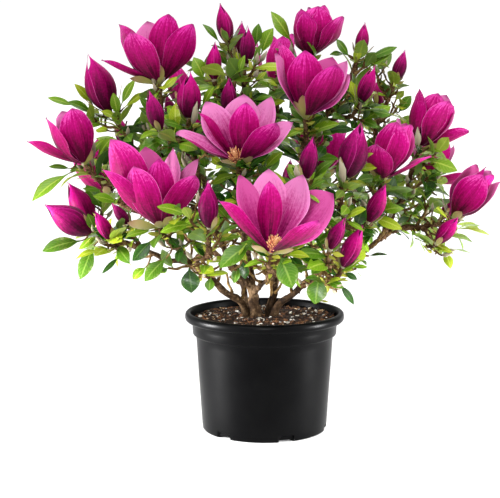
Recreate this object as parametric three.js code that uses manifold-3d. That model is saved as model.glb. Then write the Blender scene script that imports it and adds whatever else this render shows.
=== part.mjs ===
// A flowering magnolia shrub in a round nursery pot, in millimetres, +Z up.
// The origin is the middle of the pot's flat underside. +X is to the right of the plant's best
// side, and -Y is that side: it faces whoever looks at it.
import * as THREE from "three";
import { mergeVertices } from "three/addons/utils/BufferGeometryUtils.js";
import Module from "manifold-3d";

const wasm = await Module();
wasm.setup();

// ---- driving dimensions ----

const GAP = 0.3; // clearance between two solids that meet
const SLIVER = 0.05; // an edge shorter than this, left by a join, is closed up
const POT = {
  height: 172, rim: 115, lip: 12, lipWidth: 8, collar: 104.5, collarDeep: 19, foot: 90, wall: 2.4,
};
const SLOTS = { count: 6, wide: 20, high: 8, deep: 14, first: -40 }; // drain slots round the foot
const SOIL_TOP = POT.height - 15;
const TWIG = { foot: 2.7, tip: 1.7, side: 1.9, shoot: 1.3 }; // radii of the young wood
const LEAF = { least: 42, most: 62, wide: 0.44, thick: 0.034 };
const TEPAL_THICK = 1.5;
const GOLDEN = 137.5; // degrees between one leaf and the next round a twig

// ---- the stems: the short trunk, what forks from it, and what rises beside it ----
// foot: a place on the soil, or the limb and the share of its length that it leaves from.
const stems = [
  { name: "trunk", foot: [-12, 0], tip: [-18, -2, 205], thick: [11, 8.6] },
  { name: "stem_left", foot: [-25, 3], tip: [-88, -8, 233], thick: [7.6, 5.6] },
  { name: "stem_right", foot: [14, -3], tip: [94, -20, 247], thick: [7.2, 5] },
  { name: "stem_inner_right", foot: [7, 4], tip: [48, 2, 318], thick: [7.4, 4.4] },
  { name: "stem_back_left", foot: [-22, 15], tip: [-62, 66, 262], thick: [6.2, 4.4] },
  { name: "stem_back_right", foot: [4, 17], tip: [54, 72, 262], thick: [6.2, 4.4] },
  { name: "stem_inner_left", from: "trunk", at: 0.86, tip: [-74, -22, 292], thick: [6, 4.6] },
  { name: "stem_middle", from: "trunk", at: 0.97, tip: [-28, 6, 330], thick: [6.4, 4.2] },
  { name: "stem_front", from: "trunk", at: 0.8, tip: [6, -62, 232], thick: [5.6, 4.4] },
];

// ---- the main boughs, each from a stem to where its sprays begin ----
const boughs = [
  { name: "bough_low_left", from: "stem_left", at: 1, tip: [-168, -26, 264] },
  { name: "bough_front_left", from: "stem_left", at: 0.72, tip: [-110, -92, 266] },
  { name: "bough_upper_left", from: "stem_inner_left", at: 1, tip: [-146, 0, 382] },
  { name: "bough_inner_left", from: "stem_inner_left", at: 0.8, tip: [-92, -62, 362] },
  { name: "bough_front", from: "stem_middle", at: 0.45, tip: [-38, -86, 322] },
  { name: "bough_crown", from: "stem_middle", at: 1, tip: [-42, 4, 436] },
  { name: "bough_low_front", from: "stem_front", at: 1, tip: [6, -158, 250] },
  { name: "bough_top_right", from: "stem_inner_right", at: 1, tip: [72, 2, 430] },
  { name: "bough_upper_front", from: "stem_inner_right", at: 0.72, tip: [52, -58, 372] },
  { name: "bough_right", from: "stem_right", at: 1, tip: [142, -58, 300] },
  { name: "bough_right_front", from: "stem_right", at: 0.74, tip: [92, -104, 298] },
  { name: "bough_far_right", from: "stem_right", at: 0.9, tip: [182, -4, 288] },
  { name: "bough_back_left", from: "stem_back_left", at: 1, tip: [-82, 130, 300] },
  { name: "bough_back_far_left", from: "stem_back_left", at: 0.74, tip: [-152, 84, 296] },
  { name: "bough_back_right", from: "stem_back_right", at: 1, tip: [76, 138, 296] },
  { name: "bough_back_far_right", from: "stem_back_right", at: 0.74, tip: [152, 88, 300] },
  { name: "bough_back_top", from: "stem_middle", at: 0.74, tip: [2, 74, 396] },
];
const BOUGH_THICK = [4.4, 3];

// ---- the flowers, in sprays ----
// seat: where the flower sits. It leans from upright by lean degrees towards a bearing, which is 0
// at +X and 90 at +Y. length is a tepal's, or the bud's. turn sets the first tepal's bearing.
// leaves: where the tips are of the leaves that stand out from the crown.
function flower(opens, seat, lean, toward, length, turn = 0) {
  return { opens, seat, lean, toward, length, turn };
}
const sprays = [
  { name: "spray_low_left", from: "bough_low_left", at: 1, flowers: [
    flower("plump", [-242, -60, 293], 55, 192, 76), flower("plump", [-248, 4, 301], 29, 180, 66),
    flower("bud", [-211, -100, 289], 26, 203, 45), flower("bud", [-193, -30, 301], 34, 198, 38)],
    leaves: [[-311, -60, 268], [-256, -90, 232]] },
  { name: "spray_left", from: "bough_upper_left", at: 0.5, flowers: [
    flower("half", [-254, -30, 387], 24, 192, 88, 62)],
    leaves: [[-330, -20, 334], [-302, -40, 384], [-216, -10, 424]] },
  { name: "spray_front_left", from: "bough_front_left", at: 1, flowers: [
    flower("goblet", [-139, -160, 315], 17, 244, 112, 66)],
    leaves: [[-205, -170, 295], [-179, -130, 239]] },
  { name: "spray_low_middle", from: "bough_front_left", at: 0.6, flowers: [
    flower("bud", [-73, -210, 319], 15, 263, 63)],
    leaves: [[-104, -140, 223]] },
  { name: "spray_upper_left", from: "bough_upper_left", at: 0.75, flowers: [
    flower("plump", [-223, 30, 459], 22, 180, 86)],
    leaves: [[-304, 24, 477], [-259, 0, 440]] },
  { name: "spray_top_left", from: "bough_upper_left", at: 1, flowers: [
    flower("goblet", [-147, -30, 499], 9, 250, 98, 56), flower("bud", [-132, 30, 440], 12, 120, 44)] },
  { name: "spray_inner_left", from: "bough_inner_left", at: 1, flowers: [
    flower("plump", [-104, -80, 453], 5, 256, 64), flower("bud", [-141, -110, 438], 20, 211, 56)] },
  { name: "spray_front", from: "bough_front", at: 1, flowers: [
    flower("wide", [-36, -150, 396], 28, 276, 102, 30)] },
  { name: "spray_crown", from: "bough_crown", at: 1, flowers: [
    flower("bud", [-52, 20, 555], 11, 180, 57), flower("bud", [-36, 62, 534], 8, 78, 54)],
    leaves: [[-86, 10, 580], [10, 66, 572]] },
  { name: "spray_crown_front", from: "bough_crown", at: 0.7, flowers: [
    flower("bud", [-27, -30, 526], 10, 328, 52), flower("bud", [-71, -34, 504], 6, 241, 52)],
    leaves: [[-100, -40, 533]] },
  { name: "spray_heart", from: "stem_middle", at: 0.86, flowers: [
    flower("bud", [-50, -58, 454], 5, 265, 54)] },
  { name: "spray_low_front", from: "bough_low_front", at: 1, flowers: [
    flower("wide", [5, -250, 293], 30, 277, 100, 0)],
    leaves: [[-57, -220, 262], [34, -196, 226]] },
  { name: "spray_middle_front", from: "bough_low_front", at: 0.6, flowers: [
    flower("bud", [52, -190, 380], 13, 289, 56), flower("bud", [30, -84, 356], 9, 328, 42)] },
  { name: "spray_top_right", from: "bough_top_right", at: 1, flowers: [
    flower("cup", [67, 20, 536], 2, 180, 84, 80), flower("bud", [27, 4, 503], 7, 180, 52)],
    leaves: [[9, 18, 592]] },
  { name: "spray_upper_front", from: "bough_upper_front", at: 1, flowers: [
    flower("goblet", [53, -120, 456], 12, 282, 93, 226)] },
  { name: "spray_upper_right", from: "bough_top_right", at: 0.72, flowers: [
    flower("bud", [135, 30, 539], 14, 0, 46), flower("bud", [132, -50, 473], 17, 343, 54)],
    leaves: [[100, 34, 566], [190, 40, 551]] },
  { name: "spray_right", from: "bough_right", at: 1, flowers: [
    flower("half", [157, -120, 373], 21, 337, 88, 230)] },
  { name: "spray_far_right", from: "bough_far_right", at: 0.8, flowers: [
    flower("half", [222, 10, 409], 16, 0, 86, 236)],
    leaves: [[277, 10, 375], [248, 34, 368]] },
  { name: "spray_right_front", from: "bough_right_front", at: 1, flowers: [
    flower("plump", [104, -180, 381], 18, 326, 74), flower("bud", [137, -130, 317], 27, 338, 57)] },
  { name: "spray_low_right", from: "stem_right", at: 0.55, flowers: [
    flower("bud", [102, -160, 261], 27, 326, 61), flower("bud", [83, -190, 288], 24, 320, 46)] },
  { name: "spray_far_low_right", from: "bough_far_right", at: 1, flowers: [
    flower("half", [262, -52, 316], 38, 345, 82, 236), flower("bud", [232, -112, 286], 40, 315, 52)] },
  { name: "spray_right_top", from: "bough_back_far_right", at: 0.6, flowers: [
    flower("bud", [190, 60, 500], 21, 10, 48), flower("bud", [172, 120, 462], 24, 70, 50)],
    leaves: [[215, 60, 482]] },
  { name: "spray_back_left", from: "bough_back_left", at: 1, flowers: [
    flower("wide", [-98, 205, 372], 32, 100, 96, 10), flower("bud", [-168, 196, 318], 36, 130, 54)] },
  { name: "spray_back_low", from: "bough_back_left", at: 0.6, flowers: [
    flower("plump", [-8, 232, 268], 34, 92, 70), flower("bud", [-70, 236, 264], 40, 110, 50)] },
  { name: "spray_back_far_left", from: "bough_back_far_left", at: 1, flowers: [
    flower("half", [-236, 128, 330], 34, 150, 84, 30), flower("bud", [-208, 112, 402], 20, 160, 50)] },
  { name: "spray_back_upper_left", from: "bough_back_top", at: 0.6, flowers: [
    flower("plump", [-122, 124, 462], 16, 130, 72), flower("bud", [-66, 172, 446], 20, 110, 52)] },
  { name: "spray_back_top", from: "bough_back_top", at: 1, flowers: [
    flower("goblet", [22, 128, 478], 15, 80, 92, 40)] },
  { name: "spray_back_right", from: "bough_back_right", at: 1, flowers: [
    flower("wide", [92, 214, 350], 32, 78, 96, 50), flower("bud", [54, 196, 424], 18, 95, 50)] },
  { name: "spray_back_low_right", from: "bough_back_right", at: 0.7, flowers: [
    flower("bud", [158, 196, 276], 40, 50, 56)] },
  { name: "spray_back_far_right", from: "bough_back_far_right", at: 1, flowers: [
    flower("half", [238, 124, 350], 32, 35, 84, 80), flower("bud", [262, 60, 300], 40, 10, 50)] },
];

// How far a flower has opened, as rings of tepals from the inside out. Each ring has a count, the
// angle from the flower's axis at the tepals' foot and at their tip, their length and width as
// shares of the flower's length, how far their sides curl in, and the share up to which they close
// edge to edge. Angles are in degrees.
function ring(count, splay, close, long, wide, curl, joined) {
  return { count, splay, close, long, wide, curl, joined };
}
const openings = {
  cup: [ring(3, 40, -40, 0.93, 0.62, 55, 0.66), ring(3, 58, -36, 1, 0.66, 52, 0.5)],
  half: [ring(3, 38, -34, 0.93, 0.6, 52, 0.6), ring(3, 62, -22, 1, 0.62, 48, 0.42),
    ring(1, 90, 62, 0.94, 0.44, 34, 0)],
  goblet: [ring(3, 36, -26, 0.93, 0.6, 50, 0.55), ring(4, 64, 0, 1, 0.52, 44, 0.36),
    ring(1, 92, 62, 0.9, 0.42, 34, 0)],
  wide: [ring(3, 42, -4, 0.93, 0.54, 46, 0.4), ring(5, 76, 12, 1, 0.48, 38, 0.24)],
};
const RISES = [5, 0, 1]; // how far above the seat each ring of tepals starts, from the inside out
const BUD_WIDE = { bud: 0.2, plump: 0.25 }; // a bud's greatest radius as a share of its length

// ---- small tools ----

const DEG = Math.PI / 180;
const UP = new THREE.Vector3(0, 0, 1);
const point = ([x, y, z]) => new THREE.Vector3(x, y, z);
const between = (a, b, share) => a + (b - a) * share;

// A repeatable draw from 0 to 1: the same whole numbers always give the same draw.
function draw(...keys) {
  let mixed = 2166136261;
  for (const key of keys) {
    mixed = Math.imul(mixed ^ (key + 1), 16777619);
    mixed ^= mixed >>> 13;
    mixed = Math.imul(mixed, 1540483477);
    mixed ^= mixed >>> 15;
  }
  return (mixed >>> 0) / 4294967296;
}

// The way of something that leans from upright by lean degrees towards a bearing.
function wayOf(lean, toward) {
  const out = Math.sin(lean * DEG);
  const bearing = toward * DEG;
  return new THREE.Vector3(out * Math.cos(bearing), out * Math.sin(bearing), Math.cos(lean * DEG));
}

// Two directions square to a way: across, which is level, and over, which completes a right-handed set.
function squareTo(way) {
  const level = Math.abs(way.z) > 0.999 ? new THREE.Vector3(0, 1, 0) : UP;
  const across = new THREE.Vector3().crossVectors(level, way).normalize();
  return { across, over: new THREE.Vector3().crossVectors(way, across) };
}

// A way turned from the twig's own by out degrees, on the side that turn degrees points to.
function branchWay(way, turn, out) {
  const { across, over } = squareTo(way);
  return way.clone().multiplyScalar(Math.cos(out * DEG))
    .addScaledVector(across, Math.sin(out * DEG) * Math.cos(turn * DEG))
    .addScaledVector(over, Math.sin(out * DEG) * Math.sin(turn * DEG));
}

// A limb's centre line from 0 at its foot to 1 at its tip: a cubic curve with a slight gnarl, taken
// as straight pieces so that whatever grows on it is rooted in the solid.
function centreLine(foot, footWay, tip, tipWay, key, pieces) {
  const span = foot.distanceTo(tip);
  const reach = span * 0.35;
  const fromFoot = foot.clone().addScaledVector(footWay, reach);
  const toTip = tip.clone().addScaledVector(tipWay, -reach);
  const curve = new THREE.CubicBezierCurve3(foot, fromFoot, toTip, tip);
  const { across, over } = squareTo(tip.clone().sub(foot).normalize());
  const sway = span * 0.022;
  const smooth = (share) => {
    const swing = Math.sin(Math.PI * share) * sway;
    return curve.getPoint(share)
      .addScaledVector(across, swing * Math.sin(2 * Math.PI * (draw(key, 1) + 1.4 * share)))
      .addScaledVector(over, swing * Math.sin(2 * Math.PI * (draw(key, 2) + 1.9 * share)));
  };
  const at = (share) => {
    const piece = Math.min(Math.floor(share * pieces + 1e-6), pieces - 1);
    return smooth(piece / pieces).lerp(smooth((piece + 1) / pieces), share * pieces - piece);
  };
  const step = 0.01;
  const way = (share) => {
    const behind = smooth(Math.max(share - step, 0));
    return smooth(Math.min(share + step, 1)).sub(behind).normalize();
  };
  return { at, way, span, pieces };
}

// ---- making solids ----

// A three.js shape as a solid that can be cut and joined.
function solidOf(geometry) {
  geometry.deleteAttribute("normal");
  geometry.deleteAttribute("uv");
  const merged = mergeVertices(geometry, 1e-4);
  return new wasm.Manifold(new wasm.Mesh({
    numProp: 3,
    vertProperties: merged.attributes.position.array,
    triVerts: new Uint32Array(merged.index.array),
  }));
}

// A three.js shape with each of its points carried to a new place.
function carried(geometry, place) {
  const spots = geometry.getAttribute("position");
  const spot = new THREE.Vector3();
  for (let i = 0; i < spots.count; i++) {
    const { x, y, z } = place(spot.fromBufferAttribute(spots, i));
    spots.setXYZ(i, x, y, z);
  }
  return solidOf(geometry);
}

// The largest of a solid's bodies: a cut's loose scraps and a hollow that joining sealed are left out.
function mainBody(solid) {
  return solid.decompose().reduce((a, b) => (b.volume() > a.volume() ? b : a));
}

// A tapering round limb along a centre line. Its rings keep their turn from foot to tip, so that it
// doesn't twist. grow fattens it all round, to cut a clearance.
function tube(line, radius, sides, grow = 0) {
  const rings = [];
  let across = new THREE.Vector3(1, 0, 0);
  for (let k = 0; k <= line.pieces; k++) {
    const way = line.way(k / line.pieces);
    across = across.clone().addScaledVector(way, -across.dot(way)).normalize();
    rings.push({ way, across, over: new THREE.Vector3().crossVectors(way, across) });
  }
  const shape = new THREE.CylinderGeometry(1, 1, 1, sides, line.pieces);
  return carried(shape, (spot) => {
    const share = spot.y + 0.5;
    const ring = rings[Math.round(share * line.pieces)];
    const thick = radius(share) + grow;
    const beyond = grow * (share > 0.999 ? 1 : share < 0.001 ? -1 : 0);
    return line.at(share).addScaledVector(ring.way, beyond)
      .addScaledVector(ring.across, spot.x * thick).addScaledVector(ring.over, -spot.z * thick);
  });
}

// Where a tepal's midrib is, how far it has turned from the axis and how wide it is there. The
// midrib is an arc, and the outline is a claw that widens to the shoulder and closes to a point.
function tepalAt(tepal, share) {
  const turned = between(tepal.splay, tepal.close, share) * DEG;
  const bend = (tepal.close - tepal.splay) * DEG;
  const out = tepal.foot + tepal.length * (Math.cos(tepal.splay * DEG) - Math.cos(turned)) / bend;
  const up = tepal.rise + tepal.length * (Math.sin(turned) - Math.sin(tepal.splay * DEG)) / bend;
  const shoulder = 0.58;
  const claw = 0.24;
  const width = share < shoulder
    ? between(claw, 1, Math.sin(Math.PI / 2 * share / shoulder))
    : Math.pow(1 - Math.pow((share - shoulder) / (1 - shoulder), 2.1), 0.85);
  return { out, up, turned, half: tepal.width / 2 * width };
}

// A place on a tepal: at a share of its length and from -1 at one edge to 1 at the other. Asked for
// "inward", it gives the way that the blade's inner face looks there.
function tepalPoint(seat, axis, tepal, share, aside) {
  const outward = branchWay(axis, tepal.bearing, 90);
  const { out, up, turned, half } = tepalAt(tepal, share);
  const inward = axis.clone().multiplyScalar(Math.sin(turned))
    .addScaledVector(outward, -Math.cos(turned));
  if (aside === "inward") return inward;
  const side = new THREE.Vector3().crossVectors(axis, outward);
  const curl = tepal.curl * DEG;
  return seat.clone().addScaledVector(outward, out).addScaledVector(axis, up)
    .addScaledVector(side, aside * half * Math.sin(curl) / curl)
    .addScaledVector(inward, Math.abs(aside) * half * (1 - Math.cos(curl)) / curl);
}

// A tepal on its own, as a thin curved blade: a four-sided bar whose corners are its edges and faces.
function tepalSolid(seat, axis, tepal) {
  return carried(new THREE.CylinderGeometry(0, 1, 1, 4, 2), (spot) => {
    const share = spot.y + 0.5;
    const edge = share > 0.999 ? 0 : Math.sign(Math.round(spot.x));
    const face = share > 0.999 ? 0 : Math.sign(Math.round(spot.z));
    return tepalPoint(seat, axis, tepal, share, edge)
      .addScaledVector(tepalPoint(seat, axis, tepal, share, "inward"), -face * TEPAL_THICK / 2);
  });
}

// The rings of tepals of an open flower, each tepal a little different from the next.
function ringsOf(bloom, key) {
  return openings[bloom.opens].map((each, ringNumber) => {
    const tepals = Array.from({ length: each.count }, (_, i) => {
      const pick = (channel) => draw(key, ringNumber, i, channel) - 0.5;
      return {
        foot: ringNumber === 2 ? 3 : 4,
        rise: RISES[ringNumber],
        bearing: bloom.turn + ringNumber * 62 + 360 * i / each.count + 12 * pick(1),
        splay: each.splay + 10 * pick(2),
        close: each.close + 12 * pick(3),
        length: bloom.length * each.long * (1 + 0.1 * pick(4)),
        width: bloom.length * each.wide * (1 + 0.08 * pick(5)),
        curl: each.curl,
      };
    });
    return { tepals, joined: each.joined };
  });
}

// A ring of tepals as one thin shell: closed edge to edge up to a share of their length, with each
// one's shoulders and tip free above that.
const SHOULDERS = 0.72;
function ringSolid(seat, axis, { tepals, joined }) {
  const petals = tepals.map((tepal) => {
    const at = (share, aside) => tepalPoint(seat, axis, tepal, share, aside);
    const rib = (share) => ({
      out: at(share, 0).addScaledVector(at(share, "inward"), -TEPAL_THICK / 2),
      in: at(share, 0).addScaledVector(at(share, "inward"), TEPAL_THICK / 2),
    });
    return { at, low: rib(0.03), waist: rib(joined), shoulder: rib(SHOULDERS), tip: at(1, 0) };
  });
  const faces = [];
  const { rise } = tepals[0];
  const bottom = {
    out: seat.clone().addScaledVector(axis, rise - 4),
    in: seat.clone().addScaledVector(axis, rise + 2),
  };
  petals.forEach((petal, i) => {
    const next = petals[(i + 1) % petals.length];
    const last = petals[(i + petals.length - 1) % petals.length];
    const seam = (a, b, share) => a.at(share, 1).lerp(b.at(share, -1), 0.5);
    const foot = (a, b) => ({
      out: a.low.out.clone().lerp(b.low.out, 0.5),
      in: a.low.in.clone().lerp(b.low.in, 0.5),
    });
    const [before, after] = [seam(last, petal, joined), seam(petal, next, joined)];
    const [left, right] = [petal.at(SHOULDERS, -1), petal.at(SHOULDERS, 1)];
    const [footLeft, footRight] = [foot(last, petal), foot(petal, next)];
    for (const side of ["out", "in"]) {
      const low = petal.low[side];
      const waist = petal.waist[side];
      const shoulder = petal.shoulder[side];
      const strips = [
        [bottom[side], low, footLeft[side]], [bottom[side], footRight[side], low],
        [footLeft[side], low, waist], [footLeft[side], waist, before],
        [low, footRight[side], after], [low, after, waist],
        [before, waist, shoulder], [before, shoulder, left],
        [waist, after, right], [waist, right, shoulder],
        [left, shoulder, petal.tip], [shoulder, right, petal.tip],
      ];
      for (const [a, b, c] of strips) {
        faces.push(...(side === "out" ? [a, b, c] : [a, c, b]));
      }
    }
  });
  return solidOf(new THREE.BufferGeometry().setFromPoints(faces));
}

// A bud's radius along its length, as a share of the greatest: a short neck, a full belly and a point.
const budSwell = (share) => Math.pow(Math.sin(Math.PI * Math.pow(between(0.05, 1, share), 0.72)), 0.8);

function budSolid(seat, axis, length, radius) {
  const { across, over } = squareTo(axis);
  return carried(new THREE.CylinderGeometry(0, 1, 1, 5, 3), (spot) => {
    const share = spot.y + 0.5;
    const drawn = Math.hypot(spot.x, spot.z); // how far out the cone's own point is
    const reach = share > 0.999 || drawn < 0.01 ? 0 : radius * budSwell(share) / drawn;
    return seat.clone().addScaledVector(axis, share * length)
      .addScaledVector(across, spot.x * reach).addScaledVector(over, -spot.z * reach);
  });
}

// ---- what a leaf or twig has to keep clear of ----
// Every limb, twig and flower is also a row of round-ended rods: {a, b, radius}.

const rod = new THREE.Line3();
const nearest = new THREE.Vector3();
function distanceTo({ a, b, radius }, spot) {
  rod.set(a, b);
  return rod.closestPointToPoint(spot, true, nearest).distanceTo(spot) - radius;
}

function nearestOf(rods, spot) {
  return rods.reduce((least, each) => Math.min(least, distanceTo(each, spot)), Infinity);
}

function lineRods(line, radius) {
  const { at, pieces } = line;
  return Array.from({ length: pieces }, (_, i) => ({
    a: at(i / pieces), b: at((i + 1) / pieces), radius: radius((i + 0.5) / pieces),
  }));
}

function flowerRods(bloom, seat, axis, key) {
  if (bloom.opens in BUD_WIDE) {
    const radius = bloom.length * BUD_WIDE[bloom.opens];
    const end = (share) => seat.clone().addScaledVector(axis, bloom.length * share);
    const belly = { a: end(0.28), b: end(0.62), radius: radius * 0.95 };
    const core = { a: end(0.1), b: end(0.95), radius: radius * 0.4 };
    return [belly, core];
  }
  return ringsOf(bloom, key).flatMap(({ tepals }) => tepals).flatMap((tepal) => {
    const outward = branchWay(axis, tepal.bearing, 90);
    const spot = (share) => {
      const { out, up } = tepalAt(tepal, share);
      return seat.clone().addScaledVector(outward, out).addScaledVector(axis, up);
    };
    const radius = tepal.width * 0.3;
    return [0.15, 0.5, 0.8].map((share, i, all) => ({
      a: spot(share), b: spot(all[i + 1] ?? 0.95), radius: radius * (i === 0 ? 0.6 : 1),
    }));
  });
}

// ---- growing the plant ----

const limbs = new Map(); // name: { line, radius, solid, grown, rods }

// Adds a limb, cut clear of every limb before it.
function addLimb(name, line, radius, sides) {
  const grown = tube(line, radius, sides, GAP);
  let solid = tube(line, radius, sides);
  for (const other of limbs.values()) solid = solid.subtract(other.grown);
  limbs.set(name, { line, radius, grown, solid: mainBody(solid), rods: lineRods(line, radius) });
}

function growStem(stem, key) {
  const tip = point(stem.tip);
  const rising = new THREE.Vector3(0, 0, 1);
  if (stem.foot) {
    const foot = point([...stem.foot, SOIL_TOP]);
    const tipWay = tip.clone().sub(foot).normalize().addScaledVector(UP, 0.35).normalize();
    const line = centreLine(foot, rising, tip, tipWay, key, 5);
    // Its first ring faces straight up, so that its foot is a flat cut on the soil.
    const upright = { ...line, way: (share) => (share < 0.001 ? UP.clone() : line.way(share)) };
    const flare = (share) => 1 + 0.5 * Math.exp(-share * line.span / 9);
    addLimb(stem.name, upright, (share) => between(...stem.thick, share) * flare(share), 6);
    return;
  }
  const parent = limbs.get(stem.from);
  const foot = parent.line.at(stem.at);
  const aim = tip.clone().sub(foot).normalize();
  const footWay = parent.line.way(stem.at).multiplyScalar(0.4).add(aim).normalize();
  const tipWay = aim.clone().addScaledVector(UP, 0.35).normalize();
  addLimb(stem.name, centreLine(foot, footWay, tip, tipWay, key, 4),
    (share) => between(...(stem.thick ?? BOUGH_THICK), share), 5);
}
stems.forEach((stem, i) => growStem(stem, 100 + i));
boughs.forEach((bough, i) => growStem(bough, 200 + i));
const limbRods = [...limbs.values()].flatMap((limb) => limb.rods);

// A spray's own wood and flowers: the stem to its first flower, and a twig to each other one.
function growSpray(spray, number) {
  const parent = limbs.get(spray.from);
  const twigs = [];
  const flowers = spray.flowers.map((bloom, i) => {
    const key = 1000 + number * 10 + i;
    const seat = point(bloom.seat);
    const axis = wayOf(bloom.lean, bloom.toward);
    let foot, footWay, radius;
    if (i === 0) {
      foot = parent.line.at(spray.at);
      footWay = parent.line.way(spray.at);
      radius = (share) => between(TWIG.foot, TWIG.tip, share);
    } else {
      // It leaves the first stem a little below where that comes closest to its seat.
      const steps = Array.from({ length: 21 }, (_, k) => k / 20);
      const far = (share) => twigs[0].line.at(share).distanceTo(seat);
      const closest = steps.reduce((best, share) => (far(share) < far(best) ? share : best));
      const leaves = Math.min(Math.max(closest - 0.35, 0.08), 0.7);
      foot = twigs[0].line.at(leaves);
      footWay = twigs[0].line.way(leaves);
      radius = (share) => between(TWIG.side, TWIG.tip * 0.9, share);
    }
    const aim = seat.clone().sub(foot).normalize();
    const line = centreLine(foot, footWay.multiplyScalar(0.5).add(aim).normalize(), seat, axis, key, 4);
    twigs.push({ line, radius, key, flower: bloom });
    return { ...bloom, at: seat, axis, key, rods: flowerRods(bloom, seat, axis, key) };
  });
  const rods = twigs.flatMap(({ line, radius }) => lineRods(line, radius));
  const bloomRods = flowers.flatMap((each) => each.rods);
  return { ...spray, twigs, flowers, rods, flowerRods: bloomRods };
}
const grown = sprays.map(growSpray);

// Whether spots stay in a spray's own space: nearer to its wood and flowers than to any other
// spray's, clear of the limbs and the flowers, and above the pot.
const CLEAR = { limb: 2.4, flower: 3, space: 2.5, pot: POT.height + 8 };
function staysIn(spray, spots) {
  return spots.every((spot) => {
    if (spot.z < CLEAR.pot) return false;
    if (nearestOf(limbRods, spot) < CLEAR.limb) return false;
    if (nearestOf(spray.flowerRods, spot) < CLEAR.flower) return false;
    const own = Math.min(nearestOf(spray.rods, spot), nearestOf(spray.flowerRods, spot));
    return grown.every((other) => other === spray
      || Math.min(nearestOf(other.rods, spot), nearestOf(other.flowerRods, spot)) > own + CLEAR.space);
  });
}

// A leaf from its foot along a way: five corners, with the blade's upper face turned up and towards
// a bearing. It is thickest near the foot, which is sunk in the twig, so that its stalk is stout.
function leafCorners(foot, way, length, droop, faces) {
  const across = new THREE.Vector3().crossVectors(way, wayOf(42, faces)).normalize();
  const face = new THREE.Vector3().crossVectors(across, way);
  const along = (far, aside, raised) => foot.clone().addScaledVector(way, far)
    .addScaledVector(across, aside).addScaledVector(face, raised);
  const half = length * LEAF.wide / 2;
  return {
    foot,
    left: along(length * 0.5, -half, half * 0.2),
    right: along(length * 0.5, half, half * 0.2),
    under: along(length * 0.18, 0, -length * LEAF.thick),
    tip: along(length, 0, -length * droop),
  };
}

// A leaf as a solid of six faces: its stalk end and its tip on either side of a triangle.
function leafSolid({ foot, left, right, under, tip }) {
  const faces = [foot, right, left, foot, under, right, foot, left, under,
    tip, left, right, tip, right, under, tip, under, left];
  return solidOf(new THREE.BufferGeometry().setFromPoints(faces));
}

// Where leaves sit along a twig, as depths below its tip: a whorl under the flower, then one every
// so often.
const WHORL = [12, 20, 29];
const SPACING = 30;
function leafDepths(span) {
  const depths = [...WHORL];
  for (let depth = WHORL.at(-1) + SPACING; depth < span; depth += SPACING) depths.push(depth);
  return depths.filter((depth) => depth < span - 8);
}

// Short leafy shoots along a spray's stem, by turns round it.
const SHOOTS = { first: 32, spacing: 46, least: 26, most: 46, out: 55 };
function shootsOf(spray, twig) {
  const shoots = [];
  for (let i = 0, depth = SHOOTS.first; depth < twig.line.span - 10; i++, depth += SHOOTS.spacing) {
    const key = twig.key * 50 + i;
    const share = 1 - depth / twig.line.span;
    const foot = twig.line.at(share);
    const way = branchWay(twig.line.way(share), i * GOLDEN + 360 * draw(key, 5), SHOOTS.out);
    const tip = foot.clone().addScaledVector(way, between(SHOOTS.least, SHOOTS.most, draw(key, 6)))
      .addScaledVector(UP, 8);
    const tipWay = tip.clone().sub(foot).normalize().addScaledVector(UP, 0.4).normalize();
    const line = centreLine(foot, way, tip, tipWay, key, 2);
    shoots.push({ line, key, radius: (along) => between(TWIG.shoot, TWIG.shoot * 0.7, along) });
  }
  return shoots;
}

// ---- joining each spray ----

// A spray's twigs and flowers as one solid, cut clear of every limb.
function frameOf(spray) {
  const wood = spray.twigs.map((twig) => tube(twig.line, twig.radius, 3));
  const blooms = spray.flowers.flatMap((each) => {
    if (each.opens in BUD_WIDE) {
      return [budSolid(each.at, each.axis, each.length, each.length * BUD_WIDE[each.opens])];
    }
    return ringsOf(each, each.key).map((petals) => (petals.tepals.length > 1
      ? ringSolid(each.at, each.axis, petals)
      : tepalSolid(each.at, each.axis, petals.tepals[0])));
  });
  let solid = wasm.Manifold.union([...wood, ...blooms]);
  for (const limb of limbs.values()) solid = solid.subtract(limb.grown);
  return mainBody(solid);
}

const SUNK = 0.8; // mm3 that a leaf may share with the next one where both are rooted
const TRIES = 5;
const FRONT = -90; // the bearing that the leaves that stand out from the crown turn their faces to
// Degrees from the twig at which the leaves under a flower stand, so that they clear its tepals.
const LEAF_OUT = { bud: 48, plump: 56, cup: 70, half: 78, goblet: 84, wide: 104 };

const boxed = (solid) => ({ solid, box: solid.boundingBox() });
function boxesMeet(a, b) {
  return [0, 1, 2].every((k) => a.min[k] < b.max[k] + GAP && b.min[k] < a.max[k] + GAP);
}
function touches(a, b) {
  return boxesMeet(a.box, b.box) && a.solid.minGap(b.solid, GAP * 2) < GAP;
}
function runsThrough(a, b) {
  return boxesMeet(a.box, b.box) && a.solid.intersect(b.solid).volume() > SUNK;
}

const frames = grown.map((spray) => boxed(frameOf(spray)));
const limbBodies = [...limbs.values()].map((limb) => boxed(limb.solid));
const settled = []; // the leaves and shoots of the sprays joined so far

// The place on a spray's twigs that is nearest to a leaf's tip, but not at a twig's ends.
function footFor(spray, tip) {
  const shares = Array.from({ length: 15 }, (_, k) => 0.25 + 0.05 * k);
  const places = spray.twigs.flatMap(({ line }) => shares.map((share) => line.at(share)));
  return places.reduce((best, spot) => (spot.distanceTo(tip) < best.distanceTo(tip) ? spot : best));
}

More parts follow.
